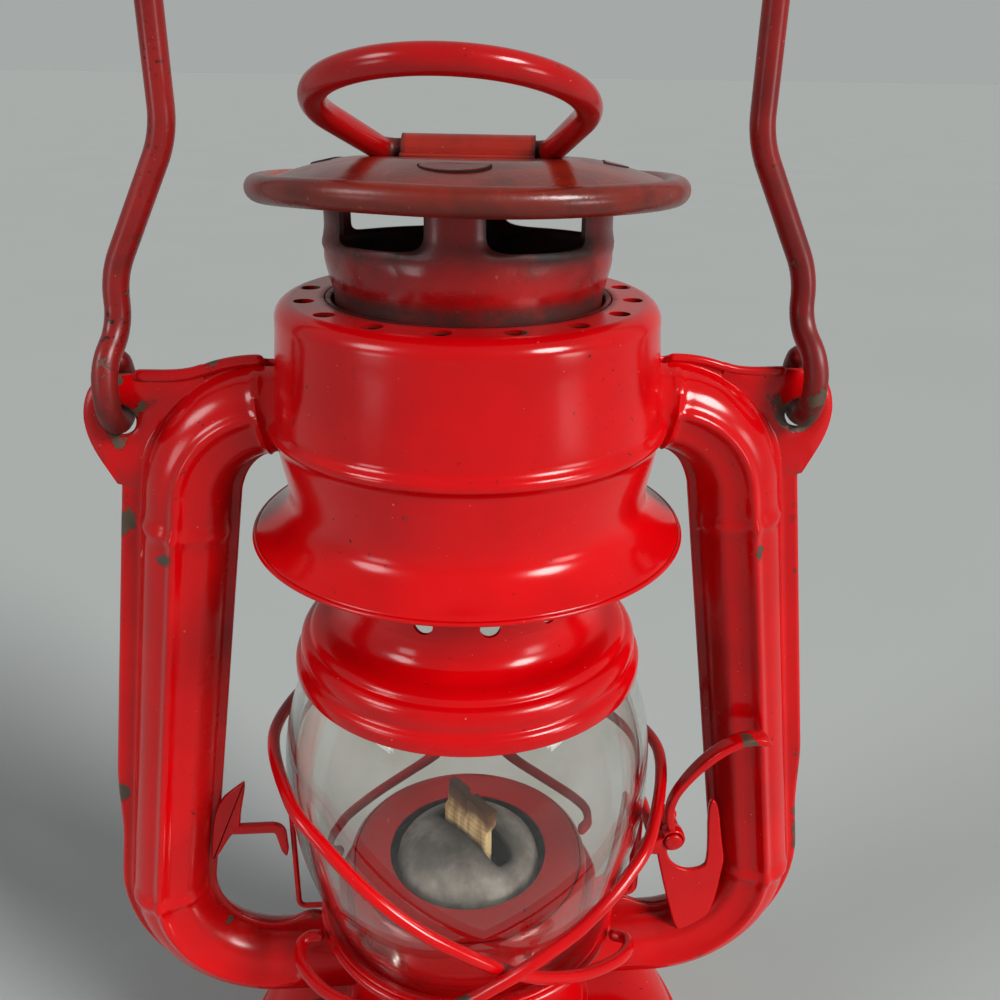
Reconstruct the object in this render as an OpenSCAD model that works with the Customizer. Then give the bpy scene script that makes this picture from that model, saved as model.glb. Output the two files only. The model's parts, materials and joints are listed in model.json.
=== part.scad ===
// Small hurricane lantern with side air tubes, wire-guarded globe, lifting chimney and bail.
// All lengths are millimetres, +Z is up, and the ground is z = 0 under the middle of the fount.

/* [Sheet and clearances] */
// Thickness of the pressed sheet metal
sheet = 0.6; // [0.5:0.05:0.8]
// Gap between shells that move past each other
run_gap = 0.4; // [0.3:0.05:0.6]
// Gap between pieces that are fixed to each other
seat_gap = 0.05; // [0.02:0.01:0.1]
// Radial clearance of pins and spindles in their holes
pin_gap = 0.05; // [0.02:0.01:0.08]

/* [Fount] */
// Radius of the fount's wall
fount_r = 43; // [41:0.5:48]
// Height of the seam between bowl and top
fount_seam_z = 25.4; // [22:0.2:28]
// Height of the flat deck on top of the fount
deck_z = 40; // [37:0.5:44]
// Radius of the flat deck
deck_r = 27; // [26:0.5:29]
// Mean radius of the foot ring
foot_r = 35.75; // [33:0.25:37]
// Width of the foot ring
foot_w = 2.5; // [2:0.1:4]
// Width of the seam flange around the fount
fount_flange = 1.2; // [0.8:0.1:2]

/* [Filler] */
// How far the filler neck stands in from the rim of the fount
filler_inset = 11.5; // [10:0.1:12]
// Direction of the filler around the axis
filler_dir = -147; // [-150:1:-140]
// Outer radius of the filler neck
neck_r = 7; // [5.5:0.1:7.2]
// Height of the neck's mouth above the deck
neck_h = 11; // [9:0.5:13]
// Depth of the filler cap's skirt
fcap_skirt = 6.5; // [5:0.25:8]
// Number of grip ribs around the filler cap
fcap_ribs = 20; // [12:1:24]

/* [Air chamber and burner] */
// Radius of the air chamber
chamber_r = 22; // [21.5:0.1:22.4]
// Height of the air chamber above the deck
chamber_h = 24; // [23:0.25:27]
// Height of the lower air tubes above the deck
low_arm_h = 12.6; // [11:0.2:13]
// Radius of the burner cup
cup_r = 10.6; // [10.2:0.1:11.5]
// Radius of the burner cone
cone_r = 13; // [12.4:0.1:13.2]
// Height of the cone's straight skirt
cone_skirt = 11; // [9:0.25:12.5]
// Height of the cone's dome
cone_dome = 7.4; // [6:0.1:8.5]
// Width of the wick
wick_w = 11; // [8:0.25:11.5]
// Thickness of the wick
wick_t = 2.4; // [1.8:0.1:2.6]
// How far the wick stands above the cone
wick_show = 8; // [4:0.5:10]
// Direction of the wick spindle around the axis
spindle_dir = -51; // [-60:1:-30]
// Radius of the wick spindle
spindle_r = 1.1; // [0.9:0.05:1.3]
// Height of the wick spindle above the deck
spindle_h = 15; // [14:0.25:16]
// Distance of the knob from the lantern's axis
knob_dist = 40; // [36:0.5:46]
// Radius of the wick knob
knob_r = 6.5; // [5:0.25:8]
// Tip radius of the sprockets that feed the wick
sprocket_r = 3.4; // [3:0.1:3.6]

/* [Gallery and globe] */
// Radius of the gallery's rim
gallery_r = 26; // [25:0.25:27]
// Height of the gallery's raised middle
boss_h = 10.5; // [9:0.1:12.5]
// Radius of the hole in the gallery's raised middle
boss_hole_r = 14.07; // [13.9:0.05:15]
// Radius of the gallery's raised middle
boss_r = 21.3; // [20:0.1:21.6]
// Height of the globe
globe_h = 59.1; // [55:0.5:64]
// Largest radius of the globe
globe_r = 30.8; // [29.5:0.1:31]
// Radius of the globe at its base
globe_foot_r = 23.8; // [23.6:0.05:24.4]
// Gap between the globe and the rim of the bell
bell_gap = 1.05; // [0.9:0.05:1.4]
// Height of the globe's widest place above its base
globe_belly = 32; // [28:0.5:36]
// Thickness of the glass
glass = 1.8; // [1.2:0.1:2]
// Diameter of the guard wire
guard_d = 2.1; // [1.6:0.1:2.4]

/* [Chimney] */
// Radius of the bell's rim
bell_r = 28; // [27.4:0.1:29]
// How far the bell reaches down over the globe
bell_lap = 5.9; // [5:0.1:6.2]
// Radius of the chimney tube
chimney_r = 18.7; // [17.5:0.1:19.2]
// Number of air holes around the bell's neck
neck_holes = 12; // [8:1:16]
// Height of the crown above the hood
crown_h = 16; // [13:0.1:18]
// Radius of the crown's swell
crown_r = 20.2; // [19.6:0.1:21]
// Height of the crown's windows
window_h = 7; // [5:0.1:7.2]
// Turn of the chimney's crown, cap and ring about the lantern's axis
crown_turn = -8; // [-12:0.5:12]
// Outer radius of the cap
cap_r = 29.65; // [27:0.05:31]
// Radius of the bead rolled around the cap
cap_bead = 2.05; // [1.6:0.05:2.3]
// Height of the cap's crest above its bead
cap_rise = 3.2; // [3:0.1:5]

/* [Lifting ring] */
// Diameter of the lifting ring's wire
ring_d = 3.2; // [2.6:0.1:3.4]
// Radius of the ring's large bend
ring_bend = 15.7; // [14:0.1:16.5]
// Reach of the ring from its hinge to the middle of the wire
ring_reach = 34.5; // [32:0.1:37]
// Lean of the ring above the level, towards the front
ring_lean = 18.6; // [17:0.2:40]
// Length of the strap that holds the ring
strap_l = 17.7; // [15:0.1:19]

/* [Hood] */
// Radius of the skirt's rim
skirt_r = 32.5; // [31:0.1:34]
// Height of the skirt's rim above the bell's rim
skirt_lift = 23.7; // [21:0.1:26]
// Height of the hood
hood_h = 34.5; // [31:0.1:36]
// Radius of the hood's wall under its shoulder
hood_top_r = 27.1; // [26.4:0.1:27.6]
// Radius of the hood's wall at its bead
hood_bead_r = 28.4; // [28:0.1:28.8]
// Height of the hood's bead above the skirt
hood_bead_h = 16.7; // [15:0.1:18]
// Radius of the hood's waist
waist_r = 26.6; // [26:0.1:27.2]
// Number of holes in the hood's top
top_holes = 16; // [10:1:20]
// Radius of the holes in the hood's top
top_hole_r = 1.45; // [1:0.05:1.6]

/* [Air tubes] */
// Outer radius of an air tube
tube_r = 6.4; // [5.8:0.1:6.6]
// Height of the upper tube arms above the skirt
arm_h = 18; // [17:0.2:20]
// Distance of the upper bend's centre from the axis
arm_x = 27.8; // [27.6:0.1:29]
// Radius of the upper bend
bend_up = 14; // [13.6:0.1:15]
// Radius of the lower bend
bend_low = 18.5; // [17.5:0.1:20]
// Outward slope of the tube legs
splay = 8.5; // [7:0.1:10]
// Width of the outer seam flange
flange_out = 2.4; // [2:0.1:3]
// Width of the inner seam flange
flange_in = 1.1; // [0.8:0.1:1.4]

/* [Bail] */
// Diameter of the bail's wire
bail_d = 3.5; // [3:0.1:3.6]
// Radius of the hole in each ear
ear_hole_r = 2.4; // [2.3:0.05:2.8]
// Distance of the ear's hole from the upper bend's centre
ear_dist = 25.8; // [25.4:0.1:26.4]
// Radius of the eye at each end of the bail
bail_eye = 4.6; // [4.5:0.05:4.8]
// Height of the bail's arch above its hinge
bail_rise = 98; // [85:1:110]

/* [Lift lever] */
// Distance of the lever's pivot from the lantern's axis
lever_x = 34.6; // [34.4:0.1:35.4]
// Height of the lever's pivot above the deck
lever_h = 45; // [43:0.2:46]
// Lift of the gallery for each radian that the lever turns
lever_cam = 3.6; // [3.2:0.1:3.7]
// Thickness of the lever
lever_t = 2.4; // [1:0.1:2.6]
// Width of the lever's thumb arm
lever_w = 1.9; // [1:0.1:2.4]

/* [Hidden] */
$fn = 72;
red = [0.78, 0.04, 0.06];
burnt = [0.5, 0.17, 0.13];
grey = [0.5, 0.49, 0.47];
silver = [0.8, 0.79, 0.77];

// Heights, stacked from the ground up
chamber_z = deck_z + chamber_h;
seat_z = chamber_z + run_gap + sheet;
globe_top_r = globe_r - (globe_r - bell_r + sheet + bell_gap)
    / pow((globe_h - bell_lap - globe_belly) / (globe_h - globe_belly), 2);
globe_z = seat_z + seat_gap;
globe_top = globe_z + globe_h;
bell_z = globe_top - bell_lap;
skirt_z = bell_z + skirt_lift;
hood_top = skirt_z + hood_h;
cap_z = hood_top + crown_h - 1.3;
crest_z = cap_z + cap_rise;
low_z = deck_z + low_arm_h;
arm_z = skirt_z + arm_h;
boss_z = seat_z + boss_h;

// Tube bends, in the plane of the two tubes
up_c = [arm_x, arm_z - bend_up];
leg_a = up_c + bend_up * [cos(splay), sin(splay)];
low_cz = low_z + bend_low;
leg_bz = low_cz + bend_low * sin(splay);
leg_len = (leg_a.y - leg_bz) / cos(splay);
leg_b = leg_a + leg_len * [sin(splay), -cos(splay)];
low_c = [leg_b.x - bend_low * cos(splay), low_cz];

// Ears and the bail's hinge
ear_dir = 29;
ear_c = up_c + ear_dist * [cos(ear_dir), sin(ear_dir)];
hinge_z = ear_c.y + bail_eye - 0.2;

// Burner levels
collar_h = 4;
cup_z = deck_z + collar_h;
cone_z = chamber_z - sheet - 0.8;
dome_z = cone_z + cone_skirt;
cone_top = dome_z + cone_dome;
wick_top = cone_top + wick_show;
spindle_z = deck_z + spindle_h;
spindle_off = wick_t / 2 + 0.15 + sprocket_r;
tube_wall = 0.5;
wick_gap = 0.3;
chute_w = wick_w + 2 * wick_gap + 2 * tube_wall;
chute_t = wick_t + 2 * wick_gap + 2 * tube_wall;

// Filler levels
filler_dist = fount_r - filler_inset;
filler_p = filler_dist * [cos(filler_dir), sin(filler_dir)];
mouth_z = deck_z + neck_h;
fcap_in = neck_r + 0.35;
fcap_out = fcap_in + sheet;

// Lever and its follower
lever_z = deck_z + lever_h;
lever_y = -(tube_r + 1.8);
peg_r = 1;
peg_x = lever_x - lever_cam;
strap_t = 1;
arm_half = 2;

// Ring hinge
ring_r = ring_d / 2;
hinge_ring_z = crest_z + 1;
bore_r = ring_r + pin_gap;

// Outline tools: points along arcs and curves, and a sheet of even thickness beside a line
function unit(v) = v / norm(v);
function left_of(a, b) = let (d = unit(b - a)) [-d.y, d.x];
function arc(c, r, a0, a1, n) = [for (i = [0:n]) let (a = a0 + (a1 - a0) * i / n) c + r * [cos(a), sin(a)]];
function bez(a, b, c, d, n) = [for (i = [0:n]) let (t = i / n, s = 1 - t)
    s * s * s * a + 3 * s * s * t * b + 3 * s * t * t * c + t * t * t * d];
function beside(p, i, t) = let (k = len(p) - 1,
    m = i == 0 ? left_of(p[0], p[1]) : left_of(p[i - 1], p[i]),
    n = i == k ? left_of(p[k - 1], p[k]) : left_of(p[i], p[i + 1])) p[i] + t * (m + n) / (1 + m * n);
function backwards(p) = [for (i = [len(p) - 1:-1:0]) p[i]];
function strip(p, t) = concat(p, backwards([for (i = [0:len(p) - 1]) beside(p, i, t)]));
function band(p, w) = concat([for (i = [0:len(p) - 1]) beside(p, i, w / 2)],
    backwards([for (i = [0:len(p) - 1]) beside(p, i, -w / 2)]));

module turned(p) { rotate_extrude() polygon(p); }
module ring_at(r, z, wire) { rotate_extrude() translate([r, z]) circle(r = wire, $fn = 24); }

// Fount
module fount_bowl() {
    top_z = fount_seam_z - sheet;
    lip = fount_r + fount_flange;
    p = concat([[0, 2], [foot_r - foot_w / 2 - 1.2, 2], [foot_r - foot_w / 2, 0]],
        bez([foot_r + foot_w / 2, 0], [fount_r - 1.5, 0], [fount_r, 2], [fount_r, 7], 8),
        [[fount_r, top_z], [lip, top_z]]);
    color(red) turned(strip(p, sheet));
}

function dome_path() = concat([[fount_r + fount_flange, fount_seam_z + sheet]],
    bez([fount_r - 0.2, fount_seam_z + sheet], [fount_r - 1, deck_z - 6], [deck_r + 8, deck_z],
        [deck_r, deck_z], 10), [[cup_r - 1.1, deck_z]]);

module fount_top() {
    color(red) difference() {
        turned(strip(dome_path(), sheet));
        translate([filler_p.x, filler_p.y, fount_seam_z + 1])
            cylinder(r = neck_r + seat_gap, h = deck_z - fount_seam_z);
    }
}

module filler_neck() {
    foot = deck_z - 8;
    color(silver) translate([filler_p.x, filler_p.y, 0]) difference() {
        union() {
            translate([0, 0, foot]) cylinder(r = neck_r, h = mouth_z - foot);
            translate([0, 0, deck_z + 0.4]) cylinder(r = neck_r + 0.6, h = 1);
        }
        translate([0, 0, foot - 1]) cylinder(r = neck_r - sheet, h = mouth_z - foot + 2);
    }
}

module filler_cap() {
    z0 = mouth_z - fcap_skirt;
    top = mouth_z + run_gap;
    p = concat([[fcap_out, z0], [fcap_out, top]],
        bez([fcap_out - 0.2, top + 0.6], [fcap_out - 1.2, top + 1], [3, top + 1.8], [0, top + 1.8], 6),
        [[0, top], [fcap_in, top], [fcap_in, z0]]);
    color(silver) translate([filler_p.x, filler_p.y, 0]) {
        turned(p);
        for (i = [0:fcap_ribs - 1]) rotate(i * 360 / fcap_ribs)
            translate([fcap_out, 0, z0]) cylinder(r = 0.5, h = fcap_skirt - 0.4, $fn = 16);
    }
}

module cap_seal() {
    color([0.25, 0.16, 0.1]) translate([filler_p.x, filler_p.y, mouth_z + 0.05])
        cylinder(r = neck_r - 0.1, h = run_gap - 0.1);
}

// Burner
module burner_collar() {
    color(silver) difference() {
        union() {
            translate([0, 0, deck_z]) cylinder(r = cup_r + 2, h = collar_h - 1.6);
            translate([0, 0, deck_z]) cylinder(r = cup_r + 0.8, h = collar_h);
        }
        translate([0, 0, deck_z - 1]) cylinder(r = cup_r - 1.1, h = collar_h + 2);
    }
}

module air_chamber() {
    color(red) difference() {
        union() {
            turned([[chamber_r, deck_z], [chamber_r, chamber_z - 1], [chamber_r - 1, chamber_z],
                [cone_r + 1.3, chamber_z], [cone_r + 1.3, chamber_z - sheet],
                [chamber_r - 1, chamber_z - sheet], [chamber_r - sheet, chamber_z - 1],
                [chamber_r - sheet, deck_z]]);
            turned([[chamber_r + 1.6, deck_z], [chamber_r + 1.6, deck_z + sheet],
                [chamber_r - sheet, deck_z + sheet], [chamber_r - sheet, deck_z]]);
        }
        for (s = [0, 180]) rotate(s) translate([chamber_r - 3, 0, low_z]) rotate([0, 90, 0])
            cylinder(r = tube_r + seat_gap, h = 6);
        rotate(spindle_dir) translate([0, -spindle_off, spindle_z]) rotate([0, 90, 0])
            cylinder(r = spindle_r + 0.4, h = chamber_r + 5);
        for (i = [0:23]) rotate(i * 15) translate([(chamber_r + cone_r) / 2 + 0.4, 0, chamber_z - 2])
            cylinder(r = 1.1, h = 4, $fn = 20);
    }
}

module burner_cup() {
    rim = cone_r + 0.4;
    color(silver) difference() {
        turned([[cup_r, cup_z], [cup_r, cone_z - sheet], [rim, cone_z - sheet], [rim, cone_z], [0, cone_z],
            [0, cone_z - sheet], [cup_r - sheet, cone_z - sheet], [cup_r - sheet, cup_z]]);
        rotate(spindle_dir) cube([chute_w + 2 * seat_gap, chute_t + 2 * seat_gap, 300], center = true);
        rotate(spindle_dir) translate([0, -spindle_off, spindle_z]) rotate([0, 90, 0])
            cylinder(r = spindle_r + pin_gap, h = cup_r + 5);
        for (i = [0:9]) rotate(spindle_dir + 45 + i * 36) translate([cup_r - 2, 0, cup_z + 3])
            rotate([0, 90, 0]) cylinder(r = 1, h = 4, $fn = 20);
    }
}

module wick_tube() {
    z0 = cup_z + 1;
    z1 = dome_z - 1;
    color(silver) rotate(spindle_dir) difference() {
        translate([-chute_w / 2, -chute_t / 2, z0]) cube([chute_w, chute_t, z1 - z0]);
        translate([-wick_w / 2 - wick_gap, -wick_t / 2 - wick_gap, z0 - 1])
            cube([wick_w + 2 * wick_gap, wick_t + 2 * wick_gap, z1 - z0 + 2]);
        for (u = [-1, 1]) translate([u * wick_w * 0.28 - 1.3, -chute_t, spindle_z - sprocket_r])
            cube([2.6, chute_t, 2 * sprocket_r]);
    }
}

module burner_cone() {
    n = 10;
    out = concat([[cone_r, cone_z], [cone_r, dome_z]],
        [for (i = [1:n]) let (a = 90 * i / n) [cone_r * cos(a), dome_z + cone_dome * sin(a)]]);
    in = concat([for (i = [n:-1:1]) let (a = 90 * i / n)
        [(cone_r - sheet) * cos(a), dome_z + (cone_dome - sheet) * sin(a)]],
        [[cone_r - sheet, dome_z], [cone_r - sheet, cone_z]]);
    color(grey) difference() {
        turned(concat(out, in));
        rotate(spindle_dir) translate([0, 0, cone_top]) cube([wick_w + 2, wick_t + 2, 8], center = true);
        for (i = [0:11]) rotate(i * 30) translate([cone_r - 2, 0, cone_z + 4]) rotate([0, 90, 0])
            cylinder(r = 0.9, h = 4, $fn = 20);
    }
}

module wick() {
    z0 = cup_z - 6;
    color([0.72, 0.55, 0.34]) rotate(spindle_dir) translate([-wick_w / 2, -wick_t / 2, z0])
        cube([wick_w, wick_t, wick_top - z0]);
}

module wick_spindle() {
    u0 = -wick_w * 0.28 - 2;
    color(silver) rotate(spindle_dir) translate([u0, -spindle_off, spindle_z]) rotate([0, 90, 0])
        cylinder(r = spindle_r, h = knob_dist - u0 + 1.5);
}

// Toothed wheel that grips the wick: tips and roots alternate around the spindle
module sprocket(u) {
    teeth = 8;
    root = sprocket_r - 1.1;
    p = [for (i = [0:4 * teeth - 1]) let (a = i * 90 / teeth, r = (i % 4 < 2) ? sprocket_r : root)
        r * [cos(a), sin(a)]];
    color(silver) rotate(spindle_dir) translate([u - 0.8, -spindle_off, spindle_z]) rotate([0, 90, 0])
        linear_extrude(1.6) difference() {
            polygon(p);
            circle(r = spindle_r + 0.02);
        }
}

module sprocket_inner() { sprocket(-wick_w * 0.28); }

module sprocket_outer() { sprocket(wick_w * 0.28); }

module wick_knob() {
    ribs = 18;
    color(silver) rotate(spindle_dir) translate([knob_dist, -spindle_off, spindle_z]) rotate([0, 90, 0]) {
        difference() {
            union() {
                cylinder(r = knob_r - 0.4, h = 2.6);
                translate([0, 0, -3]) cylinder(r = spindle_r + 1.3, h = 6.6);
                for (i = [0:ribs - 1]) rotate((i + 0.5) * 360 / ribs) translate([knob_r - 0.5, 0, 0.2])
                    cylinder(r = 0.5, h = 2.2, $fn = 16);
            }
            translate([0, 0, -4]) cylinder(r = spindle_r + 0.02, h = 5.6);
        }
    }
}

// Hood: flat perforated top, rounded shoulder, pressed bead, waist and flared skirt
module hood() {
    sh = 2.6;
    bead_z = skirt_z + hood_bead_h;
    waist_z = skirt_z + 4;
    p = concat([[chimney_r + run_gap, hood_top]],
        arc([hood_top_r - sh, hood_top - sh], sh, 90, 4, 8),
        [[hood_bead_r, bead_z + 1.2]],
        arc([hood_bead_r - 0.1, bead_z], 0.9, 50, -50, 6),
        [[hood_bead_r - 0.25, bead_z - 1.2]],
        bez([waist_r + 0.25, waist_z + 2.4], [waist_r - 0.15, waist_z - 0.8], [waist_r + 2.2, skirt_z + 1.6],
            [skirt_r, skirt_z], 10));
    color(red) difference() {
        union() {
            turned(strip(p, -sheet));
            ring_at(skirt_r - 0.5, skirt_z - 0.05, 0.7);
        }
        for (i = [0:top_holes - 1]) rotate((i + 0.5) * 360 / top_holes)
            translate([(chimney_r + hood_top_r) / 2 + 0.1, 0, hood_top - 3])
                cylinder(r = top_hole_r, h = 6, $fn = 24);
        for (s = [0, 180]) rotate(s) translate([hood_top_r - 4, 0, arm_z]) rotate([0, 90, 0])
            cylinder(r = tube_r + 0.1, h = 8);
    }
}

// Section of one pressed tube half; x points away from the bend's centre and y to the half's own side
module half_wall(rib = 0) {
    intersection() {
        difference() {
            union() {
                circle(r = tube_r);
                if (rib > 0) translate([0.8, tube_r - 0.35]) circle(r = rib, $fn = 24);
            }
            circle(r = tube_r - sheet);
        }
        translate([-2 * tube_r, 0]) square([4 * tube_r, 2 * tube_r]);
    }
}

module half_flange(side, hem) {
    w = tube_r + flange_out - (side > 0 ? 0 : sheet + seat_gap);
    translate([tube_r - sheet, 0]) square([w - tube_r + sheet, sheet]);
    if (side > 0 && hem) {
        translate([tube_r + flange_out - sheet, -2 * sheet - seat_gap]) square([sheet, 3 * sheet + seat_gap]);
        translate([tube_r + 0.5, -2 * sheet - seat_gap]) square([flange_out - 0.5, sheet]);
    }
}

module half_inner() {
    translate([-tube_r - flange_in, 0]) square([flange_in + sheet, sheet]);
}

// Places a section along the straight leg between the two bends
module on_leg(from, len) {
    translate([leg_a.x + from * sin(splay), leg_a.y - from * cos(splay), 0]) rotate(splay) rotate([90, 0, 0])
        linear_extrude(len) children();
}

module on_up(a0, a1) {
    translate(up_c) rotate(a0) rotate_extrude(angle = a1 - a0) translate([bend_up, 0]) children();
}

module on_low(a0, a1) {
    translate(low_c) rotate(a0) rotate_extrude(angle = a1 - a0) translate([bend_low, 0]) children();
}

module ear_outline() {
    out = up_c + (tube_r + flange_out + bend_up) * [cos(60), sin(60)];
    low = up_c + (tube_r + flange_out + bend_up) * [cos(11), sin(11)];
    polygon(concat([out, up_c + (bend_up + tube_r) * [cos(60), sin(60)],
        up_c + (bend_up + tube_r) * [cos(35), sin(35)], up_c + (bend_up + tube_r) * [cos(11), sin(11)], low],
        [[ear_c.x + 3.9, ear_c.y - 2.6]], arc(ear_c, 4.3, -25, 30, 5),
        [[ear_c.x + 2.6, hinge_z + 1.9], [ear_c.x - 2.5, hinge_z + 1.9]]));
}

module tube_half(side) {
    hood_in = hood_top_r - 2.2;
    chamber_in = chamber_r - 2;
    leg_rib = 0.75;
    step = 2.4;
    // upper arm and bend
    translate([hood_in, arm_z, 0]) rotate([90, 0, 90]) linear_extrude(arm_x - hood_in) half_wall();
    on_up(splay, 90) half_wall();
    on_up(splay, 82) half_flange(side, false);
    on_up(62, 82) half_flange(side, true);
    on_up(splay, 66) half_inner();
    difference() {
        linear_extrude(sheet) difference() {
            ear_outline();
            translate(up_c) circle(r = bend_up + tube_r - sheet / 2);
        }
        translate([ear_c.x, ear_c.y, -1]) cylinder(r = ear_hole_r, h = 3);
    }
    // leg, with a rib down its front and a pressed ring at each end
    on_leg(0, leg_len) {
        half_wall();
        half_flange(side, true);
        half_inner();
    }
    on_leg(step, leg_len - 2 * step) half_wall(leg_rib);
    for (z = [0.6, leg_len - 0.6 - step]) on_leg(z, step) intersection() {
        difference() {
            circle(r = tube_r + 0.4);
            circle(r = tube_r - sheet);
        }
        translate([-tube_r, sheet]) square([2 * tube_r, 2 * tube_r]);
    }
    // lower bend and arm
    on_low(-90, splay) {
        half_wall();
        half_flange(side, true);
        half_inner();
    }
    translate([chamber_in, low_z, 0]) rotate([90, 0, 90]) linear_extrude(low_c.x - chamber_in) mirror([1, 0])
        half_wall();
    flange_x = chamber_r + 2.2;
    translate([flange_x, low_z, 0]) rotate([90, 0, 90]) linear_extrude(low_c.x - flange_x) mirror([1, 0]) {
        half_flange(side, true);
        half_inner();
    }
}

module tube_right_front() { color(red) rotate([90, 0, 0]) tube_half(1); }

module tube_right_rear() { color(red) rotate([90, 0, 0]) mirror([0, 0, 1]) tube_half(-1); }

module tube_left_front() { color(red) mirror([1, 0, 0]) rotate([90, 0, 0]) tube_half(1); }

module tube_left_rear() { color(red) mirror([1, 0, 0]) rotate([90, 0, 0]) mirror([0, 0, 1]) tube_half(-1); }

// Round wire in bends and straight runs. A run, or a bend that links two others, is a hair thinner
// and reaches a little way into its neighbours.
lap = 0.05;
hair = 0.01;
module wire_bend(radius, a0, a1, r) {
    rotate([0, 0, a0]) rotate_extrude(angle = a1 - a0) translate([radius, 0]) circle(r = r, $fn = 24);
}
module wire_link(radius, a0, a1, r) {
    more = lap / radius * 180 / PI;
    wire_bend(radius, a0 - more, a1 + more, r - hair);
}
module wire_run(len, r) { translate([0, 0, -lap]) cylinder(r = r - hair, h = len + 2 * lap, $fn = 24); }

// Bail: an eye through each ear, a swept shank with a kink, and one round arch.
// Each bend and straight run starts where the last one ends, in the same direction.
module bail() {
    r = bail_d / 2;
    lean = 0;
    kink = 26;
    q = 8;
    kink_r = 15;
    in_x = 1.9;
    x0 = ear_c.x;
    sway = norm([in_x, bail_eye]);
    turn = acos(1 - sway / (2 * q));
    sway_z = hinge_z + 1;
    // end of the sway, then the kink's first bend, its run and its second bend
    k0 = [x0 - in_x, sway_z + 2 * q * sin(turn)];
    k1 = k0 + kink_r * [cos(kink) - 1, sin(kink)];
    k_run = 13.4;
    k2 = k1 + k_run * [-sin(kink), cos(kink)];
    k3 = k2 + kink_r * [cos(kink) - cos(lean), sin(kink) - sin(lean)];
    top = hinge_z + bail_rise;
    up_len = (top - k3.y - k3.x * (1 - sin(lean)) / cos(lean)) / (cos(lean) - tan(lean) * (1 - sin(lean)));
    k4 = k3 + up_len * [-sin(lean), cos(lean)];
    arch_r = k4.x / cos(lean);
    arch_z = k4.y - arch_r * sin(lean);
    color(burnt) {
        for (s = [0, 1]) mirror([s, 0, 0]) {
            // the eye, worn flat on the inside where it runs on the ear
            translate([x0, 0, hinge_z]) rotate([90, 0, 90]) difference() {
                wire_bend(bail_eye, 180, 405, r);
                cylinder(r = bail_eye - r + 0.15, h = 2 * bail_d, center = true);
            }
            translate([x0, -bail_eye, hinge_z]) wire_run(sway_z - hinge_z, r);
            // sway from the front of the ear to the plane of the tubes
            translate([x0, -bail_eye, sway_z]) rotate([0, 0, atan2(bail_eye, -in_x)]) rotate([90, 0, 0]) {
                translate([q, 0, 0]) wire_bend(q, 180 - turn, 180, r);
                translate([sway - q, 2 * q * sin(turn), 0]) wire_link(q, -turn, 0, r);
            }
            rotate([90, 0, 0]) {
                translate([k0.x - kink_r, k0.y, 0]) wire_bend(kink_r, 0, kink, r);
                translate(k1) rotate([0, 0, kink]) rotate([-90, 0, 0]) wire_run(k_run, r);
                translate(k2 + kink_r * [cos(kink), sin(kink)]) wire_bend(kink_r, 180 + lean, 180 + kink, r);
                translate(k3) rotate([0, 0, lean]) rotate([-90, 0, 0]) wire_run(up_len, r);
            }
        }
        translate([0, 0, arch_z]) rotate([90, 0, 0]) wire_bend(arch_r, lean, 180 - lean, r);
    }
}

// Gallery: flat seat for the globe, rolled rim and raised middle with a hole for the burner
module gallery() {
    p = concat([[gallery_r, seat_z], [boss_r + 0.7, seat_z], [boss_r, seat_z + 0.7], [boss_r, boss_z - 1.2]],
        arc([boss_r - 1.2, boss_z - 1.2], 1.2, 20, 90, 4), [[boss_hole_r, boss_z]]);
    color(red) {
        turned(strip(p, sheet));
        ring_at(gallery_r, seat_z + 0.3, 0.9);
    }
}

function globe_at(h) = h < globe_belly
    ? globe_r - (globe_r - globe_foot_r) * pow(1 - max(h - 1.5, 0) / (globe_belly - 1.5), 2)
    : globe_r - (globe_r - globe_top_r) * pow((h - globe_belly) / (globe_h - globe_belly), 2);

module globe() {
    n = 28;
    out = [for (i = [0:n]) let (h = globe_h * i / n) [globe_at(h), globe_z + h]];
    in = [for (i = [n:-1:0]) let (h = globe_h * i / n) [globe_at(h) - glass, globe_z + h]];
    color([0.85, 0.88, 0.86, 0.35]) turned(concat(out, in));
}

// Wire along a route of points, as one closed tube of eight sides
function route(k, n) = [for (i = [0:len(k) - 2]) for (j = [0:n - 1]) let (t = j / n,
    a = k[max(i - 1, 0)], b = k[i], c = k[i + 1], d = k[min(i + 2, len(k) - 1)])
    b + t * (c - a) / 2 + t * t * (2 * a - 5 * b + 4 * c - d) / 2 + t * t * t * (3 * b - a - 3 * c + d) / 2];
module wire(k, n, r) {
    q = concat(route(k, n), [k[len(k) - 1]]);
    m = len(q);
    sides = 8;
    up = [0, 0, 1];
    pts = [for (i = [0:m - 1]) let (t = unit(q[min(i + 1, m - 1)] - q[max(i - 1, 0)]),
        s = unit(cross(t, up)), v = cross(s, t))
        for (j = [0:sides - 1]) q[i] + r * (cos(j * 360 / sides) * s + sin(j * 360 / sides) * v)];
    walls = [for (i = [0:m - 2]) for (j = [0:sides - 1])
        let (a = i * sides + j, b = i * sides + (j + 1) % sides)
        each [[a, a + sides, b + sides], [a, b + sides, b]]];
    ends = [[for (j = [0:sides - 1]) j], [for (j = [sides - 1:-1:0]) (m - 1) * sides + j]];
    polyhedron(concat(pts), concat(walls, ends), convexity = 6);
}

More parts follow.
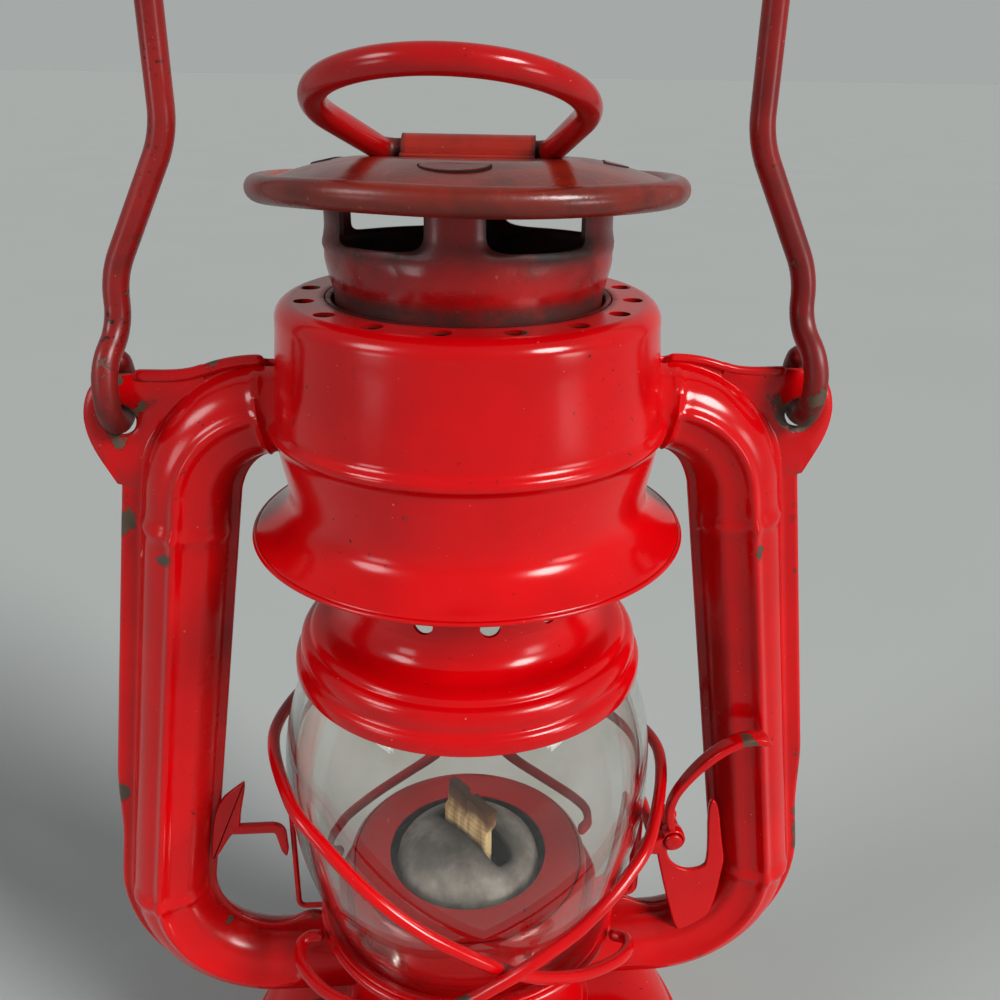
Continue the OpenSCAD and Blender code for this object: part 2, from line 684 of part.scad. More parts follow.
// A guard wire is highest at one side, drops across the front and back and hooks in at the other.
// Each row holds the turn from the high side, the distance from the axis and the height over the seat.
high_rows = [[0, 32.6, 37.6], [30, 32.6, 36.8], [45, 32.5, 34.2], [60, 32.1, 29], [75, 31.4, 23.1],
    [90, 30.6, 17.4], [100, 29.9, 13.1], [112, 29.6, 9.2], [126, 30.2, 6], [139, 31.3, 4], [147, 31.6, 3],
    [152, 30.4, 2.1], [153, 28.2, 1.5]];
low_rows = [[0, 33.5, 31.1], [30, 33.5, 28.4], [45, 33.4, 25.2], [60, 33.1, 21.5], [72.5, 32.7, 18],
    [84, 32.3, 13.9], [97, 31.8, 8.8], [112, 31.4, 5.2], [126, 31.7, 2.9], [140, 32.3, 1.4], [152, 32.5, 0.8],
    [159, 31.6, 0.9], [161, 30, 1.3], [160, 28.2, 1.5]];
guard_k = globe_r / 30.8;
function guard_side(rows, s) = [for (w = rows) let (d = w.y * guard_k)
    [d * cos(s * w.x), d * sin(s * w.x), seat_z + w.z * globe_h / 59.1]];
function guard_route(rows) = let (a = guard_side(rows, -1), b = guard_side(rows, 1))
    concat(backwards(a), [for (i = [1:len(b) - 1]) b[i]]);

module guard_wire_left() { color(red) rotate(180) wire(guard_route(high_rows), 4, guard_d / 2); }

module guard_wire_right() { color(red) wire(guard_route(low_rows), 4, guard_d / 2); }

// Strap from under the gallery's rim, with the peg that the lever lifts
module lift_arm() {
    z0 = seat_z - sheet - seat_gap - strap_t;
    top = lever_z + run_gap + 2 * peg_r + 1;
    color(red) {
        translate([chamber_r + 1, -arm_half, z0])
            cube([peg_x + strap_t / 2 - chamber_r - 1, 2 * arm_half, strap_t]);
        translate([peg_x - strap_t / 2, -arm_half, z0]) cube([strap_t, 2 * arm_half, top - z0]);
        translate([peg_x, -arm_half, lever_z + run_gap + peg_r]) rotate([90, 0, 0])
            cylinder(r = peg_r, h = -lever_y + lever_t + 0.6 - arm_half);
    }
}

module guide_arm() {
    z0 = seat_z - sheet - seat_gap - strap_t;
    x1 = peg_x + strap_t / 2;
    color(red) {
        translate([-x1, -arm_half, z0]) cube([x1 - chamber_r - 1, 2 * arm_half, strap_t]);
        translate([-x1, -arm_half, z0]) cube([strap_t, 2 * arm_half, 24]);
    }
}

module left_guide() {
    y0 = -sheet - seat_gap - strap_t;
    x1 = peg_x + strap_t / 2 + run_gap;
    z0 = lever_z - 1.6;
    k = tan(splay);
    f = leg_a.x + (leg_a.y - z0) * k - (tube_r - 0.1) / cos(splay);
    color(red) translate([0, y0, 0]) rotate([90, 0, 0]) translate([0, 0, -strap_t]) linear_extrude(strap_t)
        polygon([[5.6 * k - f + 0.3, z0 + 5.6], [0.3 - f - 6 * k, z0 - 6], [1.4 - f - 6 * k, z0 - 6],
            [3.6 - f, z0 - 0.9], [-x1 - 1.6, z0 - 1], [-x1 - 1.3, z0 - 6], [-x1, z0 - 6], [-x1, z0 + 0.4],
            [-x1 - 1, z0 + 1], [5.2 - f, z0 + 1.2], [5.5 - f, z0 + 3.6], [6.9 - f, z0 + 9.7],
            [6.3 - f, z0 + 9.6]]);
}

// Forked bracket on the inner side of the lower bend: a leaf with a deep notch, a free prong beside the leg
// and a prong that carries the lever's stud. Its points are counted from the centre of the bend.
module lift_bracket() {
    back = 3.5;
    pin = spindle_r + 0.4;
    wall = bend_low - sqrt(tube_r * tube_r - back * back) - seat_gap;
    hub = [lever_x, lever_z] - low_c;
    p = concat([[9.5, 17], [11.1, 7.6], [12, 3.6], [11.6, 1], [11, -5.5], [9.5, -10.4], [6.5, -13],
        [4.6, -13],
        [2.3, -6.2], [0.4, 1.2], [hub.x - 1.5, hub.y - 5]], arc(hub, 2.2, 200, -20, 8),
        [[hub.x + 0.8, hub.y - 5], [1.2, 5.4], [2.5, 2.7], [5, 1.1], [7.8, 1.4], [9, 2.8], [7.6, 16.9]]);
    color(red) translate([low_c.x, -back, low_c.y]) rotate([90, 0, 0]) {
        linear_extrude(strap_t) difference() {
            polygon(p);
            difference() {
                translate([-30, -60]) square(60);
                circle(r = wall);
            }
        }
        translate(hub) {
            translate([0, 0, strap_t / 2])
                cylinder(r = pin + 0.3, h = -lever_y - run_gap - back - strap_t / 2);
            translate([0, 0, strap_t])
                cylinder(r = pin, h = lever_t - lever_y + run_gap + 0.4 - back - strap_t);
            translate([0, 0, -lever_y + lever_t + run_gap - back]) cylinder(r = pin + 0.5, h = 0.8);
        }
    }
}

// Lever: hub, curved thumb arm and a finger whose edge is an involute, so that lift is even with angle
module lift_lever() {
    finger = [for (i = [0:8]) let (t = i * 8, a = t * PI / 180)
        lever_cam * [-cos(t) - a * sin(t), -sin(t) + a * cos(t)]];
    thumb = concat(bez([0.3, 1.2], [-1.5, 4], [-1.1, 8], [0.8, 11], 8),
        [for (i = [1:10]) bez([0.8, 11], [2, 13.2], [6.6, 19.8], [11.6, 20.1], 10)[i]], [[14.7, 19.6]]);
    k = len(thumb) - 1;
    hub = 2.4;
    pin = spindle_r + 0.4;
    outline = concat(arc([0, 0], hub, -110, 40, 8), [for (i = [2:k]) beside(thumb, i, -lever_w / 2)],
        [for (i = [k:-1:2]) beside(thumb, i, lever_w / 2)],
        [[-1.4, 0.7]], finger, [[-lever_cam - 2.1, -2.4], [-2.2, -3]]);
    color(red) translate([0, lever_y, 0]) rotate([90, 0, 0]) difference() {
        linear_extrude(lever_t) translate([lever_x, lever_z]) polygon(outline);
        translate([lever_x, lever_z, -1]) cylinder(r = pin + pin_gap, h = lever_t + 2);
    }
}

// Bell and chimney tube: rim, groove, rounded shoulder and perforated neck in one piece
module bell() {
    c = chimney_r;
    p = concat([[bell_r, bell_z], [bell_r, bell_z + 0.8], [bell_r - 0.7, bell_z + 1.4],
        [bell_r - 1.15, bell_z + 2]],
        bez([bell_r - 1.3, bell_z + 2.8], [bell_r - 2, bell_z + 6.4], [c + 5, bell_z + 8.8],
            [c + 3, bell_z + 9.5], 10),
        bez([c + 2.5, bell_z + 9.65], [c + 0.8, bell_z + 10.1], [c + 0.1, bell_z + 10.8],
            [c, bell_z + 12.6], 6),
        [[c, hood_top - 5]]);
    color(red) difference() {
        turned(strip(p, sheet));
        for (i = [0:neck_holes - 1]) rotate((i + 0.5) * 360 / neck_holes + crown_turn)
            translate([0, 0, bell_z + 14.6])
            rotate([0, 90, 0]) translate([0, 0, c - 3]) cylinder(r = 1.5, h = 6, $fn = 24);
    }
}

// Crown: swelling collar with four windows between its posts
module crown() {
    z0 = hood_top - 5;
    sw = hood_top + crown_h * 0.51;
    win_z = sw - 0.5;
    top = cap_under(crown_r - 0.6) - seat_gap;
    p = concat(bez([chimney_r, z0], [chimney_r, z0 + 4], [chimney_r, z0 + 5],
        [chimney_r + 0.2, hood_top + 1.5], 4),
        bez([chimney_r + 0.5, hood_top + 3], [chimney_r + 1, hood_top + 5], [crown_r, sw - 1.4],
            [crown_r, sw], 6),
        [[crown_r - 0.5, sw + 0.7], [crown_r - 0.6, top]]);
    color(burnt) rotate(crown_turn) difference() {
        turned(strip(p, sheet));
        for (q = [[-78.5, -33], [-147, -101.5], [33, 78.5], [101.5, 147]]) translate([0, 0, win_z])
            linear_extrude(window_h) polygon([[0, 0], 40 * [cos(q.x), sin(q.x)],
                46 * [cos((q.x + q.y) / 2), sin((q.x + q.y) / 2)], 40 * [cos(q.y), sin(q.y)]]);
    }
}

// Cap: crest, sloping sheet and rolled bead, with the strap over the ring's hinge
cap_in = cap_r - cap_bead;
slope_a = [crown_r - 3.7, crest_z];
slope_b = [cap_in - 1.4, cap_z + 0.7];
function cap_under(r) = slope_a.y + (r - slope_a.x) * (slope_b.y - slope_a.y) / (slope_b.x - slope_a.x)
    - sheet * 1.03;

module cap() {
    p = [[0, crest_z], slope_a, slope_b];
    tilt = atan2(slope_a.y - slope_b.y, slope_b.x - slope_a.x);
    color(burnt) difference() {
        union() {
            turned(strip(p, -sheet));
            ring_at(cap_in, cap_z, cap_bead);
            rotate(crown_turn) intersection() {
                translate([-strap_l / 2, 0, hinge_ring_z]) rotate([0, 90, 0])
                    cylinder(r = bore_r + sheet, h = strap_l);
                translate([-20, -5, crest_z - sheet]) cube([40, 10, 10]);
            }
            for (a = [0:90:270]) rotate(a + crown_turn)
                translate([crown_r - 2.2, 0, cap_under(crown_r - 2.2) + sheet]) rotate([0, tilt, 0])
                intersection() {
                    translate([0, 0, -0.2]) cylinder(r = 3.2, h = 0.9);
                    translate([0, -4, -1]) cube([5, 8, 3]);
                }
        }
        rotate(crown_turn) translate([-18, 0, hinge_ring_z]) rotate([0, 90, 0]) cylinder(r = bore_r, h = 36);
        for (s = [-1, 1]) rotate(crown_turn) translate([s * (strap_l / 2 + 2), 0, hinge_ring_z])
            rotate([0, 90, 0]) cylinder(r = ring_r + 1.75 * run_gap, h = 4, center = true);
    }
}

// Lifting ring: a round bow, two straight legs that draw together, and ends that turn in to the strap
module lifting_ring() {
    b = 2.4;
    xb = strap_l / 2 + run_gap;
    yc = ring_reach - ring_bend;
    phi = atan2(yc - b, -xb) - asin((ring_bend - b) / norm([xb, yc - b]));
    a = 90 - phi;
    leg_from = [xb, b] + b * [cos(a), -sin(a)];
    leg_to = [0, yc] + ring_bend * [cos(a), -sin(a)];
    tip = 3;
    color(red) rotate(crown_turn) translate([0, 0, hinge_ring_z]) rotate([180 - ring_lean, 0, 0]) {
        translate([0, yc, 0]) wire_link(ring_bend, -a, 180 + a, ring_r);
        for (s = [0, 1]) mirror([s, 0, 0]) {
            translate(leg_from) rotate([0, 0, phi - 90]) rotate([-90, 0, 0])
                cylinder(r = ring_r, h = norm(leg_to - leg_from), $fn = 24);
            translate([xb, b, 0]) wire_link(b, -90, -a, ring_r);
            translate([tip, 0, 0]) rotate([0, 90, 0]) cylinder(r = ring_r, h = xb - tip, $fn = 24);
        }
    }
}

fount_bowl();
fount_top();
filler_neck();
burner_collar();
air_chamber();
tube_right_front();
tube_right_rear();
tube_left_front();
tube_left_rear();
hood();
burner_cup();
wick_tube();
burner_cone();
lift_bracket();
left_guide();
bail();
gallery();
globe();
guard_wire_left();
guard_wire_right();
lift_arm();
guide_arm();
lift_lever();
bell();
crown();
cap();
lifting_ring();
wick_spindle();
sprocket_inner();
sprocket_outer();
wick_knob();
wick();
filler_cap();
cap_seal();
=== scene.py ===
"""Looks of the small red hurricane lantern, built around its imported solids.

Lengths in the shape functions are millimetres; put() turns them into metres. +Z is up, -Y is the front
and +X is the side of the globe lift lever.
"""
import json
import math

import bpy
import numpy as np
from mathutils import Matrix, Vector


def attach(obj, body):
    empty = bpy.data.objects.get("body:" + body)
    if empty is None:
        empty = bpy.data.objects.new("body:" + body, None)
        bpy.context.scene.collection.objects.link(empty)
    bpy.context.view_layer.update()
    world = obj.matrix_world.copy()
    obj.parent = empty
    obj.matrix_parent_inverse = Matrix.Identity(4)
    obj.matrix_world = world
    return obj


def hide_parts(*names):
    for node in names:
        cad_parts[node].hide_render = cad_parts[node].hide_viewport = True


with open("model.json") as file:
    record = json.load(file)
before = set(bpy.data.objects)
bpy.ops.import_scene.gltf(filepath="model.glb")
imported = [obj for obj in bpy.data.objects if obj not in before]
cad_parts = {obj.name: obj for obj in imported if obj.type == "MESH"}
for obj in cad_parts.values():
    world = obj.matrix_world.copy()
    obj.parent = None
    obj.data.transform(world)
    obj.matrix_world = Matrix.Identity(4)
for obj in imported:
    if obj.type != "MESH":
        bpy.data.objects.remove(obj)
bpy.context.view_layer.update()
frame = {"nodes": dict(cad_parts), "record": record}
NODES = frame["nodes"]


def pol(a):
    """Direction at an angle in degrees."""
    return np.array([math.cos(math.radians(a)), math.sin(math.radians(a))])


# Heights, radii, centres and turns: those of the part's source, and a few that only the looks have
SHEET = 0.6
SEAT_Z = 65.0
GLOBE_Z = 65.05
GLOBE_H = 59.1
BELL_Z = 118.25
SKIRT_Z = 141.95
HOOD_TOP = 176.45
CAP_Z = 191.15
CREST_Z = 194.75
RING_Z = 195.35
CHIMNEY_R = 18.7
CHIMNEY_TURN = math.radians(-8)
LEAN_BACK = 0.05
WICK_TURN = math.radians(-51)
RING_LEAN = math.radians(18.6)
LEVER = np.array([34.6, 85.0])
TUBE_R = 6.4
SPLAY = 8.5
UP_C = np.array([27.8, 145.95])
LOW_C = np.array([34.436, 71.1])
UP_BEND = 14.0
LOW_BEND = 18.5
LEG_A = UP_C + UP_BEND * pol(SPLAY)
LEG_B = LOW_C + LOW_BEND * pol(SPLAY)
EAR = UP_C + 25.8 * pol(29)
BAIL_Z = EAR[1] + 4.4
BAIL_H = 98.0
BAIL_WIRE = 1.75
RING_WIRE = 1.6
GUARD_WIRE = 1.03
FILLER = np.array([-26.418, -17.156])
SPINDLE_Z = 55.0
SPINDLE_ASIDE = 4.75
KNOB_OUT = 40.0
CONE_R = 13.0
CONE_Z = 62.6
WICK_Z = 38.2
WICK_TOP = 88.4
GLOBE_R = 30.8
GLOBE_WAIST = 32.0
GLOBE_HIDDEN = 3.4
CROWN_TOP = 192.75
BAND_R = 20.0
GROOVE_R = 1.75


# Lines and sections

def xyz(*parts):
    """Coordinates spread to one shape and put together as points."""
    return np.stack(np.broadcast_arrays(*parts), -1)


def chain(*lines):
    """Lines joined end to end."""
    return np.concatenate(lines)


def bez(a, b, c, d, n):
    """Cubic curve: four points weighted by (1-t)^3, 3(1-t)^2 t, 3(1-t)t^2 and t^3."""
    t = np.linspace(0, 1, n + 1)[:, None]
    s = 1 - t
    a, b, c, d = (np.array(p, float) for p in (a, b, c, d))
    return s ** 3 * a + 3 * s * s * t * b + 3 * s * t * t * c + t ** 3 * d


def arc(centre, r, a0, a1, n):
    """Points on a circle of radius r from angle a0 to a1, in degrees."""
    a = np.radians(np.linspace(a0, a1, n + 1))
    return np.array(centre, float) + r * xyz(np.cos(a), np.sin(a))


def turns(n):
    """Even angles round a full turn."""
    return np.linspace(0, 2 * np.pi, n, endpoint=False)


def eased(corners, n=5):
    """Polyline whose corners (x, y, r) become quadratic curves, from r before to r after the corner."""
    p = np.array([c[:2] for c in corners], float)
    t = np.linspace(0, 1, n + 1)[:, None]
    parts = [p[:1]]
    for before, here, after, r in zip(p[:-2], p[1:-1], p[2:], [c[2] for c in corners[1:-1]]):
        a = here + (before - here) * r / np.linalg.norm(before - here)
        b = here + (after - here) * r / np.linalg.norm(after - here)
        parts.append((1 - t) ** 2 * a + 2 * t * (1 - t) * here + t * t * b)
    parts.append(p[-1:])
    return np.concatenate(parts)


def lengths(line):
    """Distance along a line at each of its points."""
    return chain([0], np.cumsum(np.linalg.norm(np.diff(line, axis=0), axis=1)))


def unit(v):
    """Each vector divided by its own length."""
    return v / np.maximum(np.linalg.norm(v, axis=-1, keepdims=True), 1e-12)


def about_axis(p, turn):
    """Points turned about the lantern's axis."""
    c, s = math.cos(turn), math.sin(turn)
    return xyz(p[..., 0] * c - p[..., 1] * s, p[..., 0] * s + p[..., 1] * c, p[..., 2])


def walled(line, thick):
    """Closed section of bent sheet: the line, a half-round edge, the line moved sideways by the thickness
    and run backwards, and a second half-round edge. Works on one line or on a stack of lines."""
    along = unit(np.gradient(line, axis=-2))
    side = xyz(-along[..., 1], along[..., 0])
    far = line + thick * side
    k = np.linspace(0, np.pi, 6)[1:-1, None]
    h = abs(thick) / 2

    def edge(i, sign):
        mid = (line[..., i:i + 1 or None, :] + far[..., i:i + 1 or None, :]) / 2
        turn = sign * np.cos(k) * (thick / 2) * side[..., i:i + 1 or None, :]
        return mid - turn + sign * np.sin(k) * h * along[..., i:i + 1 or None, :]

    return np.concatenate([line, edge(-1, 1), far[..., ::-1, :], edge(0, -1)], axis=-2)


# Meshes

def show(name, data):
    """Puts data into the scene as an object."""
    made = bpy.data.objects.new(name, data)
    bpy.context.scene.collection.objects.link(made)
    return made


def read_mark(mesh, mark):
    """One value for each point of a mesh."""
    values = np.zeros(len(mesh.vertices), np.float32)
    mesh.attributes[mark].data.foreach_get("value", values)
    return values


def write_mark(mesh, mark, values):
    """Sets one value for each point of a mesh."""
    mesh.attributes[mark].data.foreach_set("value", np.asarray(values, np.float32))


def put(name, points, faces, body, material, node=None, wear=None, sharp=50, dark=None):
    """Makes one piece from points in millimetres and faces, points its faces outwards by the sign of its
    volume (the sum of p0 . (p1 x p2) over its triangles), and lets it ride on a body."""
    mesh = bpy.data.meshes.new(name)
    mesh.from_pydata((points * 0.001).tolist(), [], faces)
    mesh.update()
    mesh.calc_loop_triangles()
    tri = np.zeros(len(mesh.loop_triangles) * 3, np.int32)
    mesh.loop_triangles.foreach_get("vertices", tri)
    p = points[tri.reshape(-1, 3)]
    if np.einsum("ij,ij->i", p[:, 0], np.cross(p[:, 1], p[:, 2])).sum() < 0:
        mesh.flip_normals()
    mesh.polygons.foreach_set("use_smooth", np.ones(len(mesh.polygons), bool))
    mesh.set_sharp_from_angle(angle=math.radians(sharp))
    for mark, values in (("wear", wear), ("dark", dark)):
        mesh.attributes.new(mark, "FLOAT", "POINT")
        if values is not None:
            write_mark(mesh, mark, np.ravel(values))
    piece = show(name, mesh)
    mesh.materials.append(material)
    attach(piece, body)
    if node:
        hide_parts(node)
    return piece


def touch(piece, mark, spots):
    """Adds local marks to a piece: the sum of k exp(-(d / r)^2) over spots (x, y, z, r, k)."""
    mesh = piece.data
    at = np.zeros(len(mesh.vertices) * 3, np.float32)
    mesh.vertices.foreach_get("co", at)
    spots = np.array(spots, float)
    away = np.linalg.norm(at.reshape(-1, 1, 3) * 1000 - spots[None, :, :3], axis=-1)
    added = (spots[:, 4] * np.exp(-(away / spots[:, 3]) ** 2)).sum(1)
    write_mark(mesh, mark, read_mark(mesh, mark) + added)


def soften(outline, times=3):
    """Closed outline with its corners cut: each step keeps the points at 1/4 and 3/4 of every edge."""
    p = np.asarray(outline, float)
    for _ in range(times):
        q = np.roll(p, -1, 0)
        p = np.stack([0.75 * p + 0.25 * q, 0.25 * p + 0.75 * q], 1).reshape(-1, 2)
    return p


def quads(rows, cols, wrap_rows, wrap_cols):
    """Four-cornered faces between neighbouring points of a grid, joined round where it wraps."""
    i = np.arange(rows if wrap_rows else rows - 1)[:, None]
    j = np.arange(cols if wrap_cols else cols - 1)[None, :]
    i2 = (i + 1) % rows
    j2 = (j + 1) % cols
    f = xyz(i * cols + j, i2 * cols + j, i2 * cols + j2, i * cols + j2)
    return f.reshape(-1, 4)


def skin(name, grid, body, material, node=None, wear=None, sharp=50, dark=None, capped=False):
    """One piece from a grid of points whose columns close round: the rows close round too, or run along a
    path and get a face at both ends."""
    rows, cols = grid.shape[:2]
    faces = quads(rows, cols, not capped, True).tolist()
    if capped:
        faces += [list(range(cols)), list(range((rows - 1) * cols, rows * cols))]
    return put(name, grid.reshape(-1, 3), faces, body, material, node, wear, sharp, dark)


def turned(name, section, body, material, node=None, steps=144, wear=None, wave=None, dark=None):
    """Surface of revolution: a closed section (r, z) carried round the axis in even steps. wave(angle, r,
    z) may move the height a little."""
    a = turns(steps)[:, None]
    r = np.maximum(section[None, :, 0], 0.02)
    z = section[None, :, 1] + (wave(a, r, section[None, :, 1]) if wave else 0 * a)
    grid = xyz(r * np.cos(a), r * np.sin(a), z)
    wear, dark = (None if m is None else np.broadcast_to(m, grid.shape[:2]) for m in (wear, dark))
    return skin(name, grid, body, material, node, wear, dark=dark)


def wire(name, path, radius, body, material, node=None, ref=(0, 0, 1), sides=20, wear=None):
    """Round wire: a circle of the radius carried along the path, square to it, with domed ends whose radius
    falls off as sqrt(1 - t^2)."""
    along = unit(np.gradient(path, axis=0))
    ends = np.array([0.95, 0.8, 0.5])
    first = path[0] - along[0] * radius * ends[:, None]
    last = path[-1] + along[-1] * radius * ends[::-1, None]

    def longer(rows):
        return chain(rows[:1].repeat(3, 0), rows, rows[-1:].repeat(3, 0))

    line = chain(first, path, last)
    size = chain(np.sqrt(1 - ends ** 2), np.ones(len(path)), np.sqrt(1 - ends[::-1] ** 2)) * radius
    along = longer(along)
    s = unit(np.cross(along, longer(np.broadcast_to(np.asarray(ref, float), path.shape))))
    v = np.cross(s, along)
    a = turns(sides)[None, :, None]
    grid = line[:, None] + size[:, None, None] * (np.cos(a) * s[:, None] + np.sin(a) * v[:, None])
    marks = None if wear is None else np.broadcast_to(longer(wear)[:, None], grid.shape[:2])
    return skin(name, grid, body, material, node, marks, capped=True)


def plate(name, outline, y0, y1, body, material, node=None, edge=0.25, wear=1.0, place=None):
    """Flat plate in the x-z plane: the outline at y0 and y1, drawn in a little at both faces so that its
    edge is round."""
    p = np.asarray(outline, float)
    d = unit(np.roll(p, -1, 0) - np.roll(p, 1, 0))
    area = (p[:, 0] * np.roll(p[:, 1], -1) - p[:, 1] * np.roll(p[:, 0], -1)).sum()
    inward = xyz(-d[:, 1], d[:, 0]) * np.sign(area)
    k = np.linspace(0, np.pi / 2, 4)
    drawn = edge * (1 - np.sin(k))
    depth = y0 + np.sign(y1 - y0) * edge * (1 - np.cos(k))
    drawn = chain(drawn, drawn[::-1])[:, None]
    depth = chain(depth, (y1 - (depth - y0))[::-1])[:, None]
    grid = xyz(p[:, 0] + drawn * inward[:, 0], depth, p[:, 1] + drawn * inward[:, 1])
    if place is not None:
        grid = place(grid.reshape(-1, 3)).reshape(grid.shape)
    marks = np.broadcast_to(np.array([0.4, 1, 1, 1, 1, 1, 1, 0.4])[:, None] * wear, grid.shape[:2])
    return skin(name, grid, body, material, node, marks, 60, capped=True)


def spread(outline, centre, n):
    """Even angles round a centre and the outline's distance at each, for outlines that the centre sees."""
    p = np.asarray(outline, float)
    t = np.linspace(0, 1, 24, endpoint=False)[None, :, None]
    dense = (p[:, None] * (1 - t) + np.roll(p, -1, 0)[:, None] * t).reshape(-1, 2) - centre
    a = np.arctan2(dense[:, 1], dense[:, 0])
    o = np.argsort(a)
    at = np.linspace(-np.pi, np.pi, n, endpoint=False)
    return at, np.interp(at, a[o], np.linalg.norm(dense[o], axis=1), period=2 * np.pi)


def holed_plate(name, outline, centre, hole, y0, y1, body, material, node=None, place=None, n=160):
    """Flat plate with one round hole: each ring runs from the hole's rim to the outline, front and back."""
    centre = np.asarray(centre, float)
    a, out = spread(outline, centre, n)
    e = 0.2 * np.sign(y1 - y0)
    depth = np.array([y0 + e, y0, y0, y0, y0 + e, (y0 + y1) / 2, y1 - e, y1, y1, y1, y1 - e, (y0 + y1) / 2])
    share = np.array([0, 0, 0.5, 1, 1, 1, 1, 1, 0.5, 0, 0, 0.0])
    trim = np.array([0, 0.2, 0, -0.2, -0.05, 0, -0.05, -0.2, 0, 0.2, 0, 0.0])
    r = hole + share[None, :] * (out[:, None] - hole) + trim[None, :]
    grid = xyz(centre[0] + r * np.cos(a)[:, None], depth[None, :], centre[1] + r * np.sin(a)[:, None])
    marks = np.broadcast_to(np.array([1, 1, 0.2, 0.8, 1, 1, 1, 0.8, 0.2, 1, 1, 1])[None, :], grid.shape[:2])
    if place is not None:
        grid = place(grid.reshape(-1, 3)).reshape(grid.shape)
    return skin(name, grid, body, material, node, marks, 60)


def even(count, first=0.0):
    """Equal sectors round the axis as left, middle and right angles in degrees."""
    half = 180 / count
    middles = [first + 2 * half * i for i in range(count)]
    return [(mid - half, mid, mid + half) for mid in middles]


def pierced(name, sectors, low, mid, high, rim, place, body, material, node=None, rows=7, wear=None,
            steps=(8, 14), dark=None, curl=0.0):
    """Band round the axis with a ring of holes. Each hole owns one sector (left, middle, right), a
    rectangle in angle and height. A point is the hole's rim plus a share of the way to the rectangle's edge
    in the same direction: rim + t (edge - rim). place(angle, height, inset) bends the rectangle into the
    outer and inner skin. The skins are joined along rims, top and bottom and welded between sectors. Near
    the rims both are drawn in by curl (1 - t)^3. Angles count as lengths at BAND_R."""
    left, centre, right = (np.radians(np.array(v, float))[:, None] for v in zip(*sectors))
    one = np.ones_like(centre)
    up = np.linspace(low, high, steps[0] + 1)[None]
    over = np.linspace(0, 1, steps[1] + 1)[None, :-1]
    edge_a = np.concatenate([(right - centre) + 0 * up[:, :-1], right - centre + over * (left - right),
                             (left - centre) + 0 * up[:, :-1], left - centre + over * (right - left)], 1)
    edge_h = np.concatenate([one * up[:, :-1], one * high + 0 * over, one * up[:, :0:-1],
                             one * low + 0 * over], 1)
    phi = np.arctan2(edge_h - mid, edge_a * BAND_R)
    near = np.stack(rim(phi), -1) + np.array([0, mid])
    edge = xyz(edge_a, edge_h)
    t = np.linspace(0, 1, rows) ** 1.3
    flat = near[:, None] + t[None, :, None, None] * (edge - near)[:, None]
    angle = centre[..., None] + flat[..., 0]
    fold = np.broadcast_to(curl * (1 - t)[None, :, None] ** 3, angle.shape)
    grid = np.concatenate([place(angle, flat[..., 1], fold)[:, ::-1],
                           place(angle, flat[..., 1], SHEET + fold)], axis=1)
    n = edge.shape[1]
    k = chain(np.arange(steps[0], steps[0] + steps[1]), np.arange(2 * steps[0] + steps[1], n))
    far = (2 * rows - 1) * n
    cell = chain(quads(2 * rows, n, False, True), xyz(k, (k + 1) % n, far + (k + 1) % n, far + k))
    faces = (cell[None] + (np.arange(len(sectors)) * 2 * rows * n)[:, None, None]).reshape(-1, 4)
    points, first, where = np.unique(np.round(grid.reshape(-1, 3), 4), axis=0, return_index=True,
                                     return_inverse=True)
    mark = chain((1 - t)[::-1] ** 3, np.ones(rows)) if wear is None else wear
    marks = np.broadcast_to(mark[None, :, None], grid.shape[:3]).reshape(-1)[first]
    soot_and_shade = None if dark is None else dark(grid.reshape(-1, 3))[first]
    return put(name, points, where.ravel()[faces].tolist(), body, material, node, marks, 50, soot_and_shade)


def strip(name, path, thick, wide, y, body, material, node=None, wear=0.4):
    """Flat strip: a rounded rectangle (|u/a|^6 + |v/b|^6 = 1), wide across y and thin across a path in the
    x-z plane, carried along the path. Thickness and width may change along it."""
    path = np.asarray(path, float)
    along = unit(np.gradient(path, axis=0))
    side = xyz(-along[:, 1], along[:, 0])
    a = turns(28)
    size = (np.abs(np.cos(a)) ** 6 + np.abs(np.sin(a)) ** 6) ** (-1 / 6)
    count = len(path)
    half = (np.broadcast_to(thick, count) / 2)[:, None]
    reach = (np.broadcast_to(wide, count) / 2)[:, None]
    tip = np.sqrt(np.clip(np.minimum(np.arange(count), np.arange(count)[::-1]) / 3, 0.12, 1))[:, None]
    u = half * tip * (size * np.cos(a))[None]
    v = reach * (0.7 + 0.3 * tip) * (size * np.sin(a))[None]
    grid = xyz(path[:, :1] + u * side[:, :1], np.broadcast_to(y, count)[:, None] + v,
               path[:, 1:] + u * side[:, 1:])
    marks = np.full(grid.shape[:2], wear) * (np.abs(np.sin(a)) > 0.6)[None]
    return skin(name, grid, body, material, node, marks, 60, capped=True)


def stud(name, section, centre, body, material, node=None):
    """Turned piece about a line along y: a closed section (r, y) carried round a centre (x, z)."""
    a = turns(40)[:, None]
    r = np.maximum(section[None, :, 0], 0.02)
    grid = xyz(centre[0] + r * np.cos(a), section[None, :, 1], centre[1] + r * np.sin(a))
    return skin(name, grid, body, material, node)


# Finishes

def srgb(*c):
    """A colour as seen on screen, 0 to 255, as linear light."""
    c = np.array(c, float) / 255
    return (*np.where(c <= 0.04045, c / 12.92, ((c + 0.055) / 1.055) ** 2.4), 1.0)


